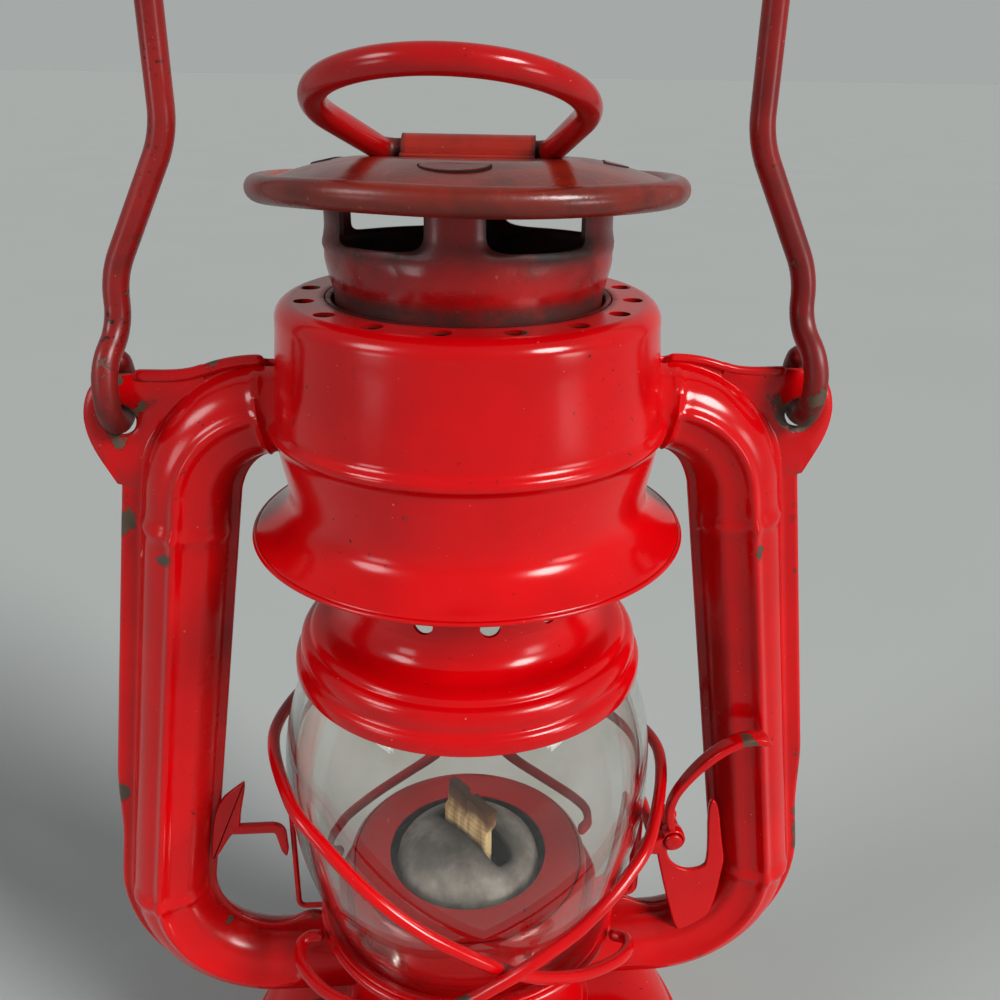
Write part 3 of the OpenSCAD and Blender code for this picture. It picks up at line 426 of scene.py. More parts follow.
class Finish:
    """One node material: small helpers that add a node, join it up and hand back its output."""

    def __init__(self, name):
        self.material = bpy.data.materials.new(name)
        self.material.use_nodes = True
        self.tree = self.material.node_tree
        self.shader = self.tree.nodes["Principled BSDF"]
        self.coords = self.tree.nodes.new("ShaderNodeTexCoord").outputs["Object"]

    def join(self, socket, value):
        """Links an output to a socket, or sets a plain value on it."""
        if isinstance(value, bpy.types.NodeSocket):
            self.tree.links.new(value, socket)
        else:
            socket.default_value = value

    def feed(self, node, sockets):
        """Joins values to sockets by name, with _ for a space."""
        for name, value in sockets.items():
            self.join(node.inputs[name.replace("_", " ")], value)
        return node

    def set(self, **sockets):
        self.feed(self.shader, sockets)

    def add(self, kind, out, modes=None, **sockets):
        """Adds a node, sets its modes, feeds its sockets and hands back one output."""
        node = self.tree.nodes.new("ShaderNode" + kind)
        for key, value in (modes or {}).items():
            setattr(node, key, value)
        return self.feed(node, sockets).outputs[out]

    def noise(self, scale, detail=3.0, rough=0.5, at=None, distort=0.0):
        return self.add("TexNoise", "Fac", Scale=scale, Detail=detail, Roughness=rough, Distortion=distort,
                        Vector=at or self.coords)

    def stretched(self, scale, turn=(0, 0, 0), move=(0, 0, 0)):
        return self.add("Mapping", "Vector", Scale=scale, Rotation=turn, Location=move, Vector=self.coords)

    def step(self, value, low, high, to0=0.0, to1=1.0):
        return self.add("MapRange", "Result", {"interpolation_type": "SMOOTHSTEP"}, Value=value,
                        From_Min=low, From_Max=high, To_Min=to0, To_Max=to1)

    def math(self, how, a, b):
        node = self.tree.nodes.new("ShaderNodeMath")
        node.operation = how
        self.join(node.inputs[0], a)
        self.join(node.inputs[1], b)
        return node.outputs[0]

    def times(self, a, b):
        return self.math("MULTIPLY", a, b)

    def plus(self, a, b):
        return self.math("ADD", a, b)

    def mix(self, share, a, b):
        return self.add("Mix", "Result", {"data_type": "RGBA"}, Factor=share, A=a, B=b)

    def part(self, axis):
        return self.add("SeparateXYZ", axis, Vector=self.coords)

    def mark(self, name="wear"):
        return self.add("Attribute", "Fac", {"attribute_name": name})

    def bump(self, height, strength, distance):
        self.set(Normal=self.add("Bump", "Normal", Strength=strength, Distance=distance, Height=height))


def enamel(name, bright, deep, chip_at, gloss, dirt=0.0, speck=0.7):
    """Stoved enamel: two close tones in slow clouds, dark specks in patches, pale dust and fibres, grime
    and painted shade where the piece is marked dark, and chips down to dark metal where a coarse and a fine
    noise add up with the wear mark of the piece."""
    f = Finish(name)
    cloud = f.step(f.noise(28, 4, 0.6), 0.35, 0.7)
    colour = f.mix(cloud, bright, deep)
    grime_and_shade = f.times(f.step(f.noise(60, 6, 0.65), 0.5, 0.78), dirt)
    # The dark mark is soot and painted shade: on the tubes' inner sides, in the hood's holes and round the
    # burner it paints shade.
    soot_and_shade = f.times(f.mark("dark"), f.step(f.noise(190, 5, 0.7), 0.25, 0.6, 0.35, 1.0))
    grime_and_shade = f.math("MAXIMUM", grime_and_shade, soot_and_shade)
    colour = f.mix(grime_and_shade, colour, srgb(46, 22, 17))
    patch = f.step(f.noise(70, 2), 0.47, 0.62)
    specks = f.times(f.step(f.noise(1300, 2, 0.5), speck, speck + 0.05), patch)
    colour = f.mix(specks, colour, srgb(46, 20, 16))
    dust = f.times(f.step(f.noise(2100, 1, 0.4), 0.79, 0.83), 0.5)
    colour = f.mix(dust, colour, srgb(206, 160, 148))
    fibre = f.step(f.noise(340, 1, 0.4, f.stretched((1, 0.16, 0.3), (0.4, 0.3, 0.9)), 1.2), 0.81, 0.83)
    colour = f.mix(f.times(fibre, 0.5), colour, srgb(214, 170, 156))
    rough_edge = f.plus(f.noise(230, 5, 0.62), f.times(f.noise(55, 2), 0.45))
    worn = f.plus(rough_edge, f.times(f.mark(), 0.2))
    chip = f.step(worn, chip_at, chip_at + 0.035)
    rim = f.math("SUBTRACT", f.step(worn, chip_at - 0.03, chip_at), chip)
    metal = f.mix(f.noise(400, 3), srgb(50, 40, 33), srgb(98, 80, 64))
    colour = f.mix(f.times(rim, 0.5), colour, srgb(84, 14, 12))
    colour = f.mix(chip, colour, metal)
    rough = f.plus(f.step(f.noise(90, 4), 0.3, 0.8, gloss, gloss + 0.12), f.times(chip, 0.3))
    rough = f.plus(rough, f.times(grime_and_shade, 0.35))
    f.set(Base_Color=colour, Roughness=rough, Specular_IOR_Level=0.32, IOR=1.5)
    skin = f.plus(f.times(f.noise(330, 2), 0.25), f.times(f.noise(95, 2), 0.5))
    f.bump(f.math("SUBTRACT", skin, f.times(chip, 0.8)), 0.14, 0.00035)
    return f.material


RED = enamel("red_enamel", srgb(208, 2, 8), srgb(184, 1, 7), 1.03, 0.12)
RING_RED = enamel("ring_enamel", srgb(186, 5, 9), srgb(146, 5, 9), 1.02, 0.15, 0.25)
BAIL_RED = enamel("bail_enamel", srgb(150, 28, 26), srgb(108, 20, 20), 0.96, 0.24, 0.8, 0.6)


def burnt(name, low, high, glow, worn):
    """Enamel browned by heat: red that turns to brown in broad clouds, with brighter patches, soot and
    painted shade where the piece is marked, and pale dust fibres."""
    f = Finish(name)
    cloud = f.step(f.noise(42, 5, 0.65, distort=0.4), 0.36, 0.68)
    colour = f.mix(cloud, low, high)
    bare = f.step(f.noise(34, 4, 0.6, f.stretched((1, 1, 1), move=(0.3, 0.1, 0.2))), 0.54, 0.68)
    colour = f.mix(f.times(bare, 0.65), colour, glow)
    streak = f.step(f.noise(120, 5, 0.7), 0.5, 0.74)
    colour = f.mix(f.times(streak, worn), colour, srgb(62, 24, 19))
    # Where the piece is marked: soot, and painted shade on the cap bead's underside, the strap's ends and
    # the crown's side posts.
    soot_and_shade = f.times(f.mark(), f.step(f.noise(150, 5, 0.7), 0.2, 0.6, 0.5, 1.0))
    colour = f.mix(soot_and_shade, colour, srgb(40, 23, 18))
    dust = f.times(f.step(f.noise(1400, 2, 0.5), 0.7, 0.78), 0.4)
    colour = f.mix(dust, colour, srgb(146, 112, 96))
    fibre = f.step(f.noise(300, 1, 0.4, f.stretched((1, 0.2, 0.3), (0.5, 0.2, 1.1)), 1.4), 0.76, 0.79)
    colour = f.mix(f.times(fibre, 0.6), colour, srgb(190, 160, 140))
    rough = f.plus(f.step(f.noise(80, 4), 0.3, 0.75, 0.13, 0.28), f.times(soot_and_shade, 0.35))
    f.set(Base_Color=colour, Roughness=rough, Specular_IOR_Level=0.4)
    f.bump(f.plus(f.noise(300, 4), f.times(f.noise(1200, 2), 0.35)), 0.14, 0.0004)
    return f.material


BURNT = burnt("burnt_enamel", srgb(148, 36, 20), srgb(104, 29, 19), srgb(186, 52, 24), 0.7)
CROWN_RED = burnt("crown_enamel", srgb(158, 5, 9), srgb(116, 8, 11), srgb(188, 16, 14), 0.4)
STRAP_RED = burnt("strap_enamel", srgb(158, 34, 20), srgb(132, 30, 20), srgb(176, 44, 26), 0.3)


def tinned(name, bright, dull, rough):
    """Tinned steel: fine brushed grain along the height and dull grey stains."""
    f = Finish(name)
    grain = f.noise(900, 3, 0.6, f.stretched((1, 1, 0.08)))
    stain = f.step(f.noise(75, 5, 0.6), 0.42, 0.72)
    colour = f.mix(f.times(stain, 0.7), f.mix(grain, bright, dull), srgb(92, 82, 70))
    f.set(Base_Color=colour, Metallic=1.0)
    f.set(Roughness=f.plus(f.step(grain, 0.3, 0.7, rough, rough + 0.1), f.times(stain, 0.2)))
    f.bump(grain, 0.06, 0.0003)
    return f.material


TIN = tinned("tinned_steel", srgb(205, 203, 198), srgb(160, 157, 152), 0.24)


def heat_grey(name):
    """Burner steel gone dull grey, with pale ash clouds and, where the piece is marked, dark soot near the
    slot and painted shade on its skirt and inner face.
    """
    f = Finish(name)
    ash = f.step(f.noise(130, 5, 0.65), 0.35, 0.7)
    colour = f.mix(ash, srgb(122, 118, 114), srgb(178, 173, 167))
    colour = f.mix(f.times(f.mark(), 0.92), colour, srgb(20, 17, 15))
    f.set(Base_Color=colour, Metallic=0.35, Roughness=f.step(f.noise(300, 3), 0.3, 0.7, 0.42, 0.62))
    f.bump(f.noise(700, 4), 0.25, 0.0003)
    return f.material


BURNER_GREY = heat_grey("burner_grey")


def shade_and_soot_finish(name):
    """Black soot over brown steel inside the burner, and painted shade in the gap round the burner cone and
    in the slits round the cap's tabs.
    """
    f = Finish(name)
    coat = f.step(f.noise(160, 4, 0.6), 0.35, 0.75)
    f.set(Base_Color=f.mix(coat, srgb(16, 13, 12), srgb(44, 33, 27)), Roughness=0.85, Metallic=0.2)
    f.bump(f.noise(700, 3), 0.2, 0.0003)
    return f.material


SHADE_AND_SOOT_BLACK = shade_and_soot_finish("black_shade_and_soot")


def lantern_glass(name):
    """Clear glass with a faint brown-grey film, thicker in slow clouds."""
    f = Finish(name)
    film = f.step(f.noise(45, 5, 0.6), 0.4, 0.75)
    f.set(Base_Color=f.mix(film, srgb(252, 251, 248), srgb(240, 236, 228)), IOR=1.46)
    f.set(Transmission_Weight=1.0)
    f.set(Roughness=f.step(film, 0.0, 1.0, 0.0, 0.02))
    f.bump(f.noise(40, 2), 0.05, 0.0006)
    return f.material


GLASS = lantern_glass("lantern_glass")


def cotton(name):
    """Woven wick: upright threads over faint cross ribs, browned upwards and charred along the top."""
    f = Finish(name)
    cross = f.add("TexWave", "Fac", {"bands_direction": "Z"}, Scale=300, Distortion=2.0, Vector=f.coords)
    thread = f.noise(620, 4, 0.6, f.stretched((1, 1, 0.1)))
    weave = f.plus(f.times(cross, 0.08), thread)
    colour = f.mix(f.step(weave, 0.35, 0.7), srgb(196, 148, 90), srgb(250, 222, 164))
    colour = f.mix(f.times(f.mark(), 0.9), colour, srgb(74, 46, 28))
    height = f.plus(f.part("Z"), f.times(f.noise(260, 4), 0.006))
    colour = f.mix(f.times(f.step(height, 0.0862, 0.0892), 0.95), colour, srgb(106, 58, 25))
    colour = f.mix(f.times(f.step(height, 0.0885, 0.0920), 0.7), colour, srgb(60, 34, 20))
    f.set(Base_Color=colour, Roughness=0.92, Sheen_Weight=0.15)
    f.bump(f.plus(weave, f.noise(900, 3)), 0.3, 0.0003)
    return f.material


COTTON = cotton("wick_cotton")


def dull_black(name):
    """Matt seal: near black with a fine grain."""
    f = Finish(name)
    f.set(Base_Color=f.mix(f.noise(400, 3), srgb(44, 32, 24), srgb(70, 52, 38)), Roughness=0.8)
    f.bump(f.noise(900, 3), 0.3, 0.0003)
    return f.material


SEAL = dull_black("seal_rubber")

# The finish of each slot, and the slot of each finish
FINISHES = {"red_enamel": RED, "burnt_enamel": BURNT, "bail_enamel": BAIL_RED, "tin": TIN,
            "burner_grey": BURNER_GREY, "glass": GLASS, "wick_cotton": COTTON, "seal": SEAL}
SLOT_OF = {made.name: slot for slot, made in FINISHES.items()}
SLOT_OF |= {RING_RED.name: "red_enamel", CROWN_RED.name: "burnt_enamel", STRAP_RED.name: "burnt_enamel"}
for entry in frame["record"]["subparts"]:
    data = NODES[entry["node"]].data
    data.materials.clear()
    data.materials.append(FINISHES[entry["material_slot"]])
# The burner's cup, collar and wick tube are black: soot, and painted shade in the gap round the burner
# cone.
for name in ("burner_cup", "burner_collar", "wick_tube"):
    NODES[name].data.materials.clear()
    NODES[name].data.materials.append(SHADE_AND_SOOT_BLACK)


# Fount, filler and air chamber

def fount_pieces():
    """Turned bowl and top that meet in a rolled seam. The bowl stands on a pressed foot ring."""
    bowl = chain(eased([(0.5, 2.3, 0), (33.0, 2.3, 0.9), (34.6, 0.3, 0.6), (36.9, 0.3, 0.6)]),
                 bez((37.6, 0.35), (41.3, 0.3), (42.7, 2), (42.7, 7), 12),
                 eased([(42.7, 8, 0), (42.7, 24.6, 0.7), (43.9, 24.6, 0)]))
    turned("fount_bowl_shell", walled(bowl, SHEET), "frame", RED, "fount_bowl")
    top = chain([(43.9, 26.1), (43.4, 26.1)],
                bez((42.9, 26.15), (42.1, 34), (35.2, 39.75), (27, 39.75), 24),
                [(18, 39.75), (10, 39.75)])
    turned("fount_top_shell", walled(top, SHEET), "frame", RED, "fount_top")
    roll = arc((43.2, 25.4), 1.0, 0, 340, 17)
    turned("fount_seam_roll", roll, "frame", RED, wear=0.8)
    chamber = eased([(23.3, 40.5, 0), (22.2, 40.5, 0.6), (21.9, 52, 0.2), (21.9, 64.0, 1.1),
                     (14.4, 64.0, 0)])
    wall = walled(chamber, 0.5)
    # Painted shade: the deck under the burner cone, seen through the gap round it, is marked dark.
    turned("air_chamber_shell", wall, "frame", RED, "air_chamber", dark=1.0 * (wall[:, 0] < 21.2))
    lip = np.array([(20.2, 63.7), (20.2, 65.4), (20.2, 67.0)])
    # Painted shade: the lip, seen in the gap round the burner cone, is black.
    turned("air_chamber_lip", walled(lip, 0.4), "frame", SHADE_AND_SOOT_BLACK)


def filler_pieces():
    """Fluted screw cap: the wall's radius swings with cos(20 angle) and fades out towards the domed top."""
    section = chain(eased([(7.45, 44.6, 0), (8.1, 44.6, 0.3), (8.1, 50.8, 0.9), (6.4, 52.5, 1.4),
                           (3.2, 52.9, 1.2), (0.2, 53.1, 0)]),
                    eased([(0.2, 51.5, 0), (7.4, 51.5, 0.2), (7.4, 45.0, 0)]))
    a = turns(240)[:, None]
    z = section[None, :, 1]
    grip = np.clip((section[None, :, 0] - 7.6) / 0.4, 0, 1) * np.clip((51.2 - z) / 0.8, 0, 1)
    r = section[None, :, 0] + 0.32 * grip * np.cos(20 * a)
    grid = xyz(FILLER[0] + r * np.cos(a), FILLER[1] + r * np.sin(a), z)
    skin("filler_cap_shell", grid, "filler_lid", TIN, "filler_cap")


def knob_piece():
    """Fluted wheel on the spindle: the rim's radius swings with cos(18 angle)."""
    section = eased([(1.15, -3, 0), (2.3, -3, 0.3), (2.3, 0.0, 0.4), (3.2, 0.35, 0.4), (5.2, 0.35, 0.6),
                     (6.25, 0.0, 0.5), (6.25, 2.6, 0.5), (5.2, 2.2, 0.6), (3, 2.2, 0.5), (2.2, 3.5, 0.8),
                     (0.05, 3.6, 0), (0.05, 1.65, 0), (1.15, 1.6, 0)], 4)
    a = turns(216)[:, None]
    grip = np.clip((section[None, :, 0] - 5.4) / 0.7, 0, 1)
    r = section[None, :, 0] + 0.24 * grip * np.cos(18 * a)
    u = KNOB_OUT + section[None, :, 1]
    grid = about_axis(xyz(u, r * np.cos(a) - SPINDLE_ASIDE, SPINDLE_Z + r * np.sin(a)), WICK_TURN)
    skin("wick_knob_wheel", grid, "wick_shaft", TIN, "wick_knob")


# Air tubes

# Points along a tube's centre line: upper arm, upper bend, leg, lower bend and lower arm
N_IN, N_UP, N_LEG, N_LOW, N_OUT = 4, 34, 88, 44, 14


def tube_line():
    """Centre line of a right tube (x, z), its outward normal and the length so far."""
    splay = math.radians(SPLAY)
    up = np.linspace(np.pi / 2, splay, N_UP)
    low = np.linspace(splay, -np.pi / 2, N_LOW)
    up = xyz(np.cos(up), np.sin(up))
    low = xyz(np.cos(low), np.sin(low))
    leg = np.linspace(0, 1, N_LEG + 2)[1:-1, None]
    line = chain(xyz(np.linspace(25.0, 27.6, N_IN), UP_C[1] + UP_BEND), UP_C + UP_BEND * up,
                 LEG_A + leg * (LEG_B - LEG_A), LOW_C + LOW_BEND * low,
                 xyz(np.linspace(34.0, 20.2, N_OUT), LOW_C[1] - LOW_BEND))
    normal = chain(np.tile([0, 1.0], (N_IN, 1)), up, np.tile(pol(SPLAY), (N_LEG, 1)), low,
                   np.tile([0, -1.0], (N_OUT, 1)))
    return line, normal, lengths(line)


def bell_curve(x, at, width):
    """Smooth hump exp(-((x - at) / width)^2)."""
    return np.exp(-((x - at) / width) ** 2)


def fade(x, low, high):
    """0 below low, 1 above high, and 3t^2 - 2t^3 between."""
    t = np.clip((x - low) / (high - low), 0, 1)
    return t * t * (3 - 2 * t)


def tube_half(name, side, front, node):
    """Half of a pressed tube: a section of inner flange, wall, hollow fillet and outer seam carried along
    the centre line. The wall is a half circle with a crest along its front, R(angle, s) = R + crest +
    rings, where the rings are humps at the hood and at both ends of the leg. The front half's seam folds
    round the rear one."""
    line, normal, s = tube_line()
    leg0, leg1 = s[N_IN + N_UP - 1], s[N_IN + N_UP + N_LEG]
    theta = np.linspace(np.pi, 0.3, 61)
    ring = bell_curve(s, leg0 + 6.2, 0.9) + bell_curve(s, leg1 + 2.6, 1.0)
    collar = bell_curve(s, 4.6, 0.5)
    crest = 0.85 * fade(s, 3, 7) * (1 - fade(s, s[-18], s[-8]))
    leg = fade(s, leg0 - 1, leg0 + 2) * (1 - fade(s, leg1 - 2, leg1 + 1))
    lift = (crest + 0.2 * leg)[:, None] * bell_curve(theta, 1.47, 0.13)[None]
    lift = lift - (0.5 * crest)[:, None] * bell_curve(theta, 1.92, 0.26)[None]
    r = TUBE_R + lift + (0.7 * ring + 0.6 * collar)[:, None] * np.sin(theta)[None] ** 0.5
    wall = xyz(r * np.cos(theta), r * np.sin(theta))
    wall[..., 1] = np.maximum(wall[..., 1], SHEET)
    inner_w = 1.0 + 2.2 * bell_curve(s, s[-9], 3.5)
    inner_w = inner_w * fade(s, 5, 20) * (1 - fade(s, s[-7], s[-4]))
    broad = fade(line[:, 1], 80, 96) * (1 - fade(line[:, 1], 148, 153))
    outer_w = 1.2 + 0.9 * (1 - fade(line[:, 1], 150, 156)) + 1.2 * broad
    outer_w = outer_w * fade(s, 3.2, 4.2) * (1 - fade(s, s[-4], s[-2]))
    k = np.linspace(1, 0, 4)[:-1]
    inner = xyz(-TUBE_R - inner_w[:, None] * k, SHEET)
    start = TUBE_R + np.clip(outer_w - 0.85, 0, 1.2)[:, None]
    k = np.linspace(0, 1, 9)[None, 1:]
    hollow = xyz((1 - k) ** 2 * wall[:, -1:, 0] + 2 * k * (1 - k) * (TUBE_R + 0.1) + k * k * start,
                 (1 - k) ** 2 * wall[:, -1:, 1] + (1 - (1 - k) ** 2) * SHEET)
    k = np.linspace(0, 1, 6)[1:]
    full = TUBE_R + 0.05 + outer_w[:, None]
    if front:
        nose = np.linspace(np.pi / 2, -np.pi / 2, 9)
        h = np.minimum(0.92, 0.05 + outer_w[:, None] / 2)
        flat = xyz(start + (full - 0.7 - start) * k, SHEET)
        roll = xyz(full - 0.7 + 0.75 * np.cos(nose), -0.32 + h * np.sin(nose))
        back = xyz(full - 0.7 - np.minimum(outer_w[:, None] - 1.2, 0.9) * np.array([0.5, 1.0]),
                   -1.24 * h / 0.92)
        section = np.concatenate([inner, wall, hollow, flat, roll, back], axis=1)
    else:
        flat = xyz(start + (TUBE_R + outer_w[:, None] - 0.7 - start) * k, SHEET)
        section = np.concatenate([inner, wall, hollow, flat], axis=1)
    loop = walled(section, -0.55)
    d, h = loop[..., 0], loop[..., 1]
    x = line[:, :1] + d * normal[:, :1]
    z = line[:, 1:] + d * normal[:, 1:]
    grid = xyz(side * x, -h if front else h, z)
    rim = np.clip((np.abs(d) - TUBE_R - 0.9) / 1.6, 0, 0.8)
    marks = rim + 0.6 * bell_curve(np.abs(d), 1.0, 0.6) * (h > 6.5)
    # Painted shade: the inner side of each tube, turned away from the light, is marked dark.
    deep = 0.3 * (d < -3.5) * (1 - fade(np.abs(h), 4.0, 6.0))
    return skin(name, grid, "frame", RED, node, marks, 60, deep, capped=True)


def ear_top():
    """Upper edge of the ear, from its lobe in a hollow curve to the bend's seam."""
    top = UP_C + 22.4 * pol(63)
    return bez(EAR + (1.8, 6.2), EAR + (-3, 7.6), top + (4.4, -1.6), top, 16)


def ear_outline():
    """Ear: from the bend's outer seam out round the hole and back along its upper edge."""
    seam = arc(UP_C, 20.2, 62, 4, 20)
    low = UP_C + 23.6 * pol(3)
    rise = bez(low, low + (2.0, 4.6), EAR + (5.0, -4.4), EAR + (5.0, 0.2), 10)
    lobe = bez(EAR + (5.0, 0.2), EAR + (4.8, 3.0), EAR + (3.6, 5.6), EAR + (1.8, 6.2), 8)
    return chain(seam, rise[1:], lobe[1:], ear_top()[1:])


def tubes():
    """Both air tubes with their ears. Paint is gone round the ear holes and chipped at some seams."""
    chips = {
        "right": [(44.8, -6.8, 138.1, 1.3, 2.4), (59.9, -0.7, 81.9, 2.6, 1.6), (61.5, -0.7, 73.6, 2.4, 1.6),
                  (60.6, -0.7, 77.6, 1.6, 1.6), (29, -2, 168.4, 2, 1)],
        "left": [(-45.9, -6.6, 138.6, 1.5, 2.6), (-46.4, -6.4, 146, 1.4, 2.2), (-51, -0.7, 142.7, 2.2, 1.8),
                 (-44.5, -1, 62.2, 1.8, 2.6), (-58.4, -0.7, 92, 1.6, 1.6), (-30, -2, 168.8, 2.4, 1.4)]}
    for side, word in ((1, "right"), (-1, "left")):
        front = tube_half(f"tube_{word}_front_shell", side, True, f"tube_{word}_front")
        touch(front, "wear", chips[word])
        tube_half(f"tube_{word}_rear_shell", side, False, f"tube_{word}_rear")
        mirror = np.array([side, 1, 1])
        for y0, y1, which in ((-0.66, -0.03, "front"), (0.03, 0.66, "rear")):
            ear = holed_plate(f"ear_{word}_{which}", ear_outline(), EAR, 2.4, y0, y1, "frame", RED, None,
                              lambda p: p * mirror)
            touch(ear, "wear", [(side * EAR[0], 0, EAR[1], 2.6, 1.0)])
            touch(ear, "dark", [(side * EAR[0], 0, EAR[1], 3.0, 0.5)])
        phi = np.radians(np.linspace(84, 64, 14))
        over = UP_C + np.linspace(21.2, 22.0, 14)[:, None] * xyz(np.cos(phi), np.sin(phi))
        rim = chain(over, ear_top()[:5:-1] - (0, 0.25))
        path = xyz(side * rim[:, 0], -0.25, rim[:, 1])
        bead = wire(f"seam_roll_{word}", path, 0.8 - 0.12 * side, "frame", RED, None, (0, 1, 0), 16,
                    np.full(len(path), 0.3))
        touch(bead, "wear", [(side * 36, -0.5, 168, 2.0, 1.4)])


# Hood and chimney

def hood_pieces():
    """Hood: a pierced flat top and one turned wall with a rounded shoulder, a pressed bead, a waist and a
    flared skirt that ends in a rolled wire edge."""
    bead_z = SKIRT_Z + 16.7
    wall = chain(
        arc((24.5, HOOD_TOP - 2.6), 2.6, 90, 4, 14),
        bez((27.12, HOOD_TOP - 4), (27.5, bead_z + 8), (28.2, bead_z + 3), (28.25, bead_z + 1.5), 10),
        arc((28.12, bead_z), 1.05, 60, -60, 12),
        bez((28.1, bead_z - 1.7), (27.8, bead_z - 5), (26.6, SKIRT_Z + 8), (26.75, SKIRT_Z + 5.6), 12),
        bez((26.85, SKIRT_Z + 5.0), (27.2, SKIRT_Z + 3.2), (29.2, SKIRT_Z + 1.9), (31.9, SKIRT_Z + 0.3),
            14))
    outer = turned("hood_wall", walled(wall, -SHEET), "frame", RED, "hood", 240)
    touch(outer, "wear", [(-4.7, -27.1, 165.5, 2, 0.9), (-7.7, -26.4, 165.3, 1.6, 0.9),
                          (-9.8, -25.7, 153.4, 2, 0.9), (-13, -24.2, 154.6, 1.6, 0.8),
                          (19.5, -19.8, 150, 1.6, 0.8), (-15.5, -22.7, 170, 1, 0.8)])
    edge = arc((32.3, SKIRT_Z - 0.2), 0.32, 0, 345, 15)
    turned("hood_skirt_roll", edge, "frame", RED, None, 192, 0.35)
    # Painted shade and soot: the lip where the crown goes in is marked dark, standing in for the shaded gap
    # there.
    lip = eased([(19.15, HOOD_TOP - 1.4, 0), (19.15, HOOD_TOP, 0.5), (20.2, HOOD_TOP, 0)])
    turned("hood_top_lip", walled(lip, -0.5), "frame", RED, dark=0.95)

    def rim(phi):
        return 1.45 * np.cos(phi) / 23.0, 1.45 * np.sin(phi)

    def place(angle, r, inset):
        return xyz(r * np.cos(angle), r * np.sin(angle), HOOD_TOP - inset)

    # Painted shade: the hole walls and the underside are marked fully dark; the inner edge by the crown
    # darkens as painted shade and soot.
    pierced("hood_top_ring", even(16, 11.25), 20.0, 23.0, 24.5, rim, place, "frame", RED, None,
            dark=lambda p: np.where(p[:, 2] < HOOD_TOP - 0.2, 1.0,
                                    0.9 * (1 - fade(np.hypot(p[:, 0], p[:, 1]), 20.0, 21.4))))


def bell_pieces():
    """Bell: a turned lip, groove, two rounded steps and a hollow curve into the pierced neck, and the plain
    tube inside the hood."""
    c, z = CHIMNEY_R, BELL_Z
    shoulder = chain(
        eased([(27.75, z - 0.35, 0), (27.75, z + 1.7, 0.8), (26.75, z + 2.3, 0.45), (26.7, z + 3.0, 0)]),
        bez((26.72, z + 3.1), (27.0, z + 4.7), (26.4, z + 5.7), (25.3, z + 6.0), 14),
        bez((25.15, z + 6.15), (25.0, z + 7.0), (24.0, z + 7.4), (22.5, z + 7.45), 14),
        bez((22.0, z + 7.48), (20.0, z + 7.8), (c + 0.15, z + 9.6), (c, z + 12.5), 14))
    turned("bell_shoulder", walled(shoulder, 0.35), "chimney", RED, "bell", 200)
    tube = np.array([(c, z + 16.7), (c, z + 30), (c, HOOD_TOP - 5)])
    turned("bell_tube", walled(tube, SHEET), "chimney", RED)

    def rim(phi):
        return 1.5 * np.cos(phi) / c, 1.5 * np.sin(phi)

    def place(angle, height, inset):
        return xyz((c - inset) * np.cos(angle), (c - inset) * np.sin(angle), height)

    pierced("bell_neck", even(12, 15 + math.degrees(CHIMNEY_TURN)), z + 12.5, z + 14.6, z + 16.7, rim,
            place, "chimney", RED)


def crown_radius(z):
    """Outer radius of the crown: straight by the hood, a swell at mid height, straight posts above."""
    h = z - HOOD_TOP
    at = np.array([-5, 0, 1.5, 2.6, 4.6, 6.2, 7.5, 8.3, 9.2, 17])
    r = np.array([18.7, 18.7, 18.9, 19.25, 19.75, 20.12, 20.2, 20.0, 19.65, 19.6])
    fine = np.linspace(-5, 17, 221)
    smooth = np.convolve(np.pad(np.interp(fine, at, r), 6, "edge"), np.ones(13) / 13, "valid")
    return np.interp(h, fine, smooth)


def crown_piece():
    """Crown: a band with four windows, each a rounded rectangle |x/a|^5 + |y/b|^5 = 1. Above the hood it
    leans back with the cap."""
    low, high = HOOD_TOP - 4.9, CROWN_TOP
    half, wide = 3.5, 7.6
    mid = HOOD_TOP + 7.66 + half
    half_turn = np.radians([[22.75], [22.75], [28.0], [31.0]])
    turn = math.degrees(CHIMNEY_TURN)
    spans = [(-180, -124.25, -90), (-90, -55.75, 0), (0, 50.5, 90), (90, 132.5, 180)]
    sectors = [(a + turn, b + turn, c + turn) for a, b, c in spans]

    def rim(phi):
        r = (np.abs(np.cos(phi) / wide) ** 5 + np.abs(np.sin(phi) / half) ** 5) ** -0.2
        return r * np.cos(phi) / wide * half_turn, r * np.sin(phi)

    def lean(y, height):
        return -LEAN_BACK * y * fade(height, HOOD_TOP + 1, HOOD_TOP + 9)

    def place(angle, height, inset):
        post = np.cos(2 * np.arcsin(np.clip(np.sin(angle - CHIMNEY_TURN), -1, 1))) ** 2
        dent = 0.5 * bell_curve(height, mid - half - 0.7, 1.3) * np.clip(post, 0, 1)
        r = crown_radius(height) + 0.3 * bell_curve(height, mid - half - 0.4, 0.6) - dent - inset
        y = r * np.sin(angle)
        return xyz(r * np.cos(angle), y, height + lean(y, height))

    def soot_and_shade(p):
        height = p[:, 2] - lean(p[:, 1], p[:, 2])
        foot = 1 - fade(height, HOOD_TOP + 1.2, HOOD_TOP + 2.8)
        sill = 0.55 * bell_curve(height, mid - half + 0.3, 1.9)
        # Soot above the windows; the side posts get more as painted shade.
        brow = fade(height, mid - 2.5, mid + 2.5) * (0.5 + 0.4 * fade(np.abs(p[:, 0]), 6, 16))
        return np.clip(0.05 + 0.85 * foot + sill + brow, 0, 1)

    rows = 26
    edge = 0.8 * (1 - np.linspace(0, 1, rows) ** 1.3) ** 6
    band = pierced("crown_band", sectors, low, mid, high, rim, place, "chimney", CROWN_RED, "crown", rows,
                   chain(edge[::-1], np.ones(rows)), steps=(24, 40), dark=soot_and_shade, curl=0.9)
    both = read_mark(band.data, "dark") + read_mark(band.data, "wear")
    write_mark(band.data, "wear", np.clip(both, 0, 1))


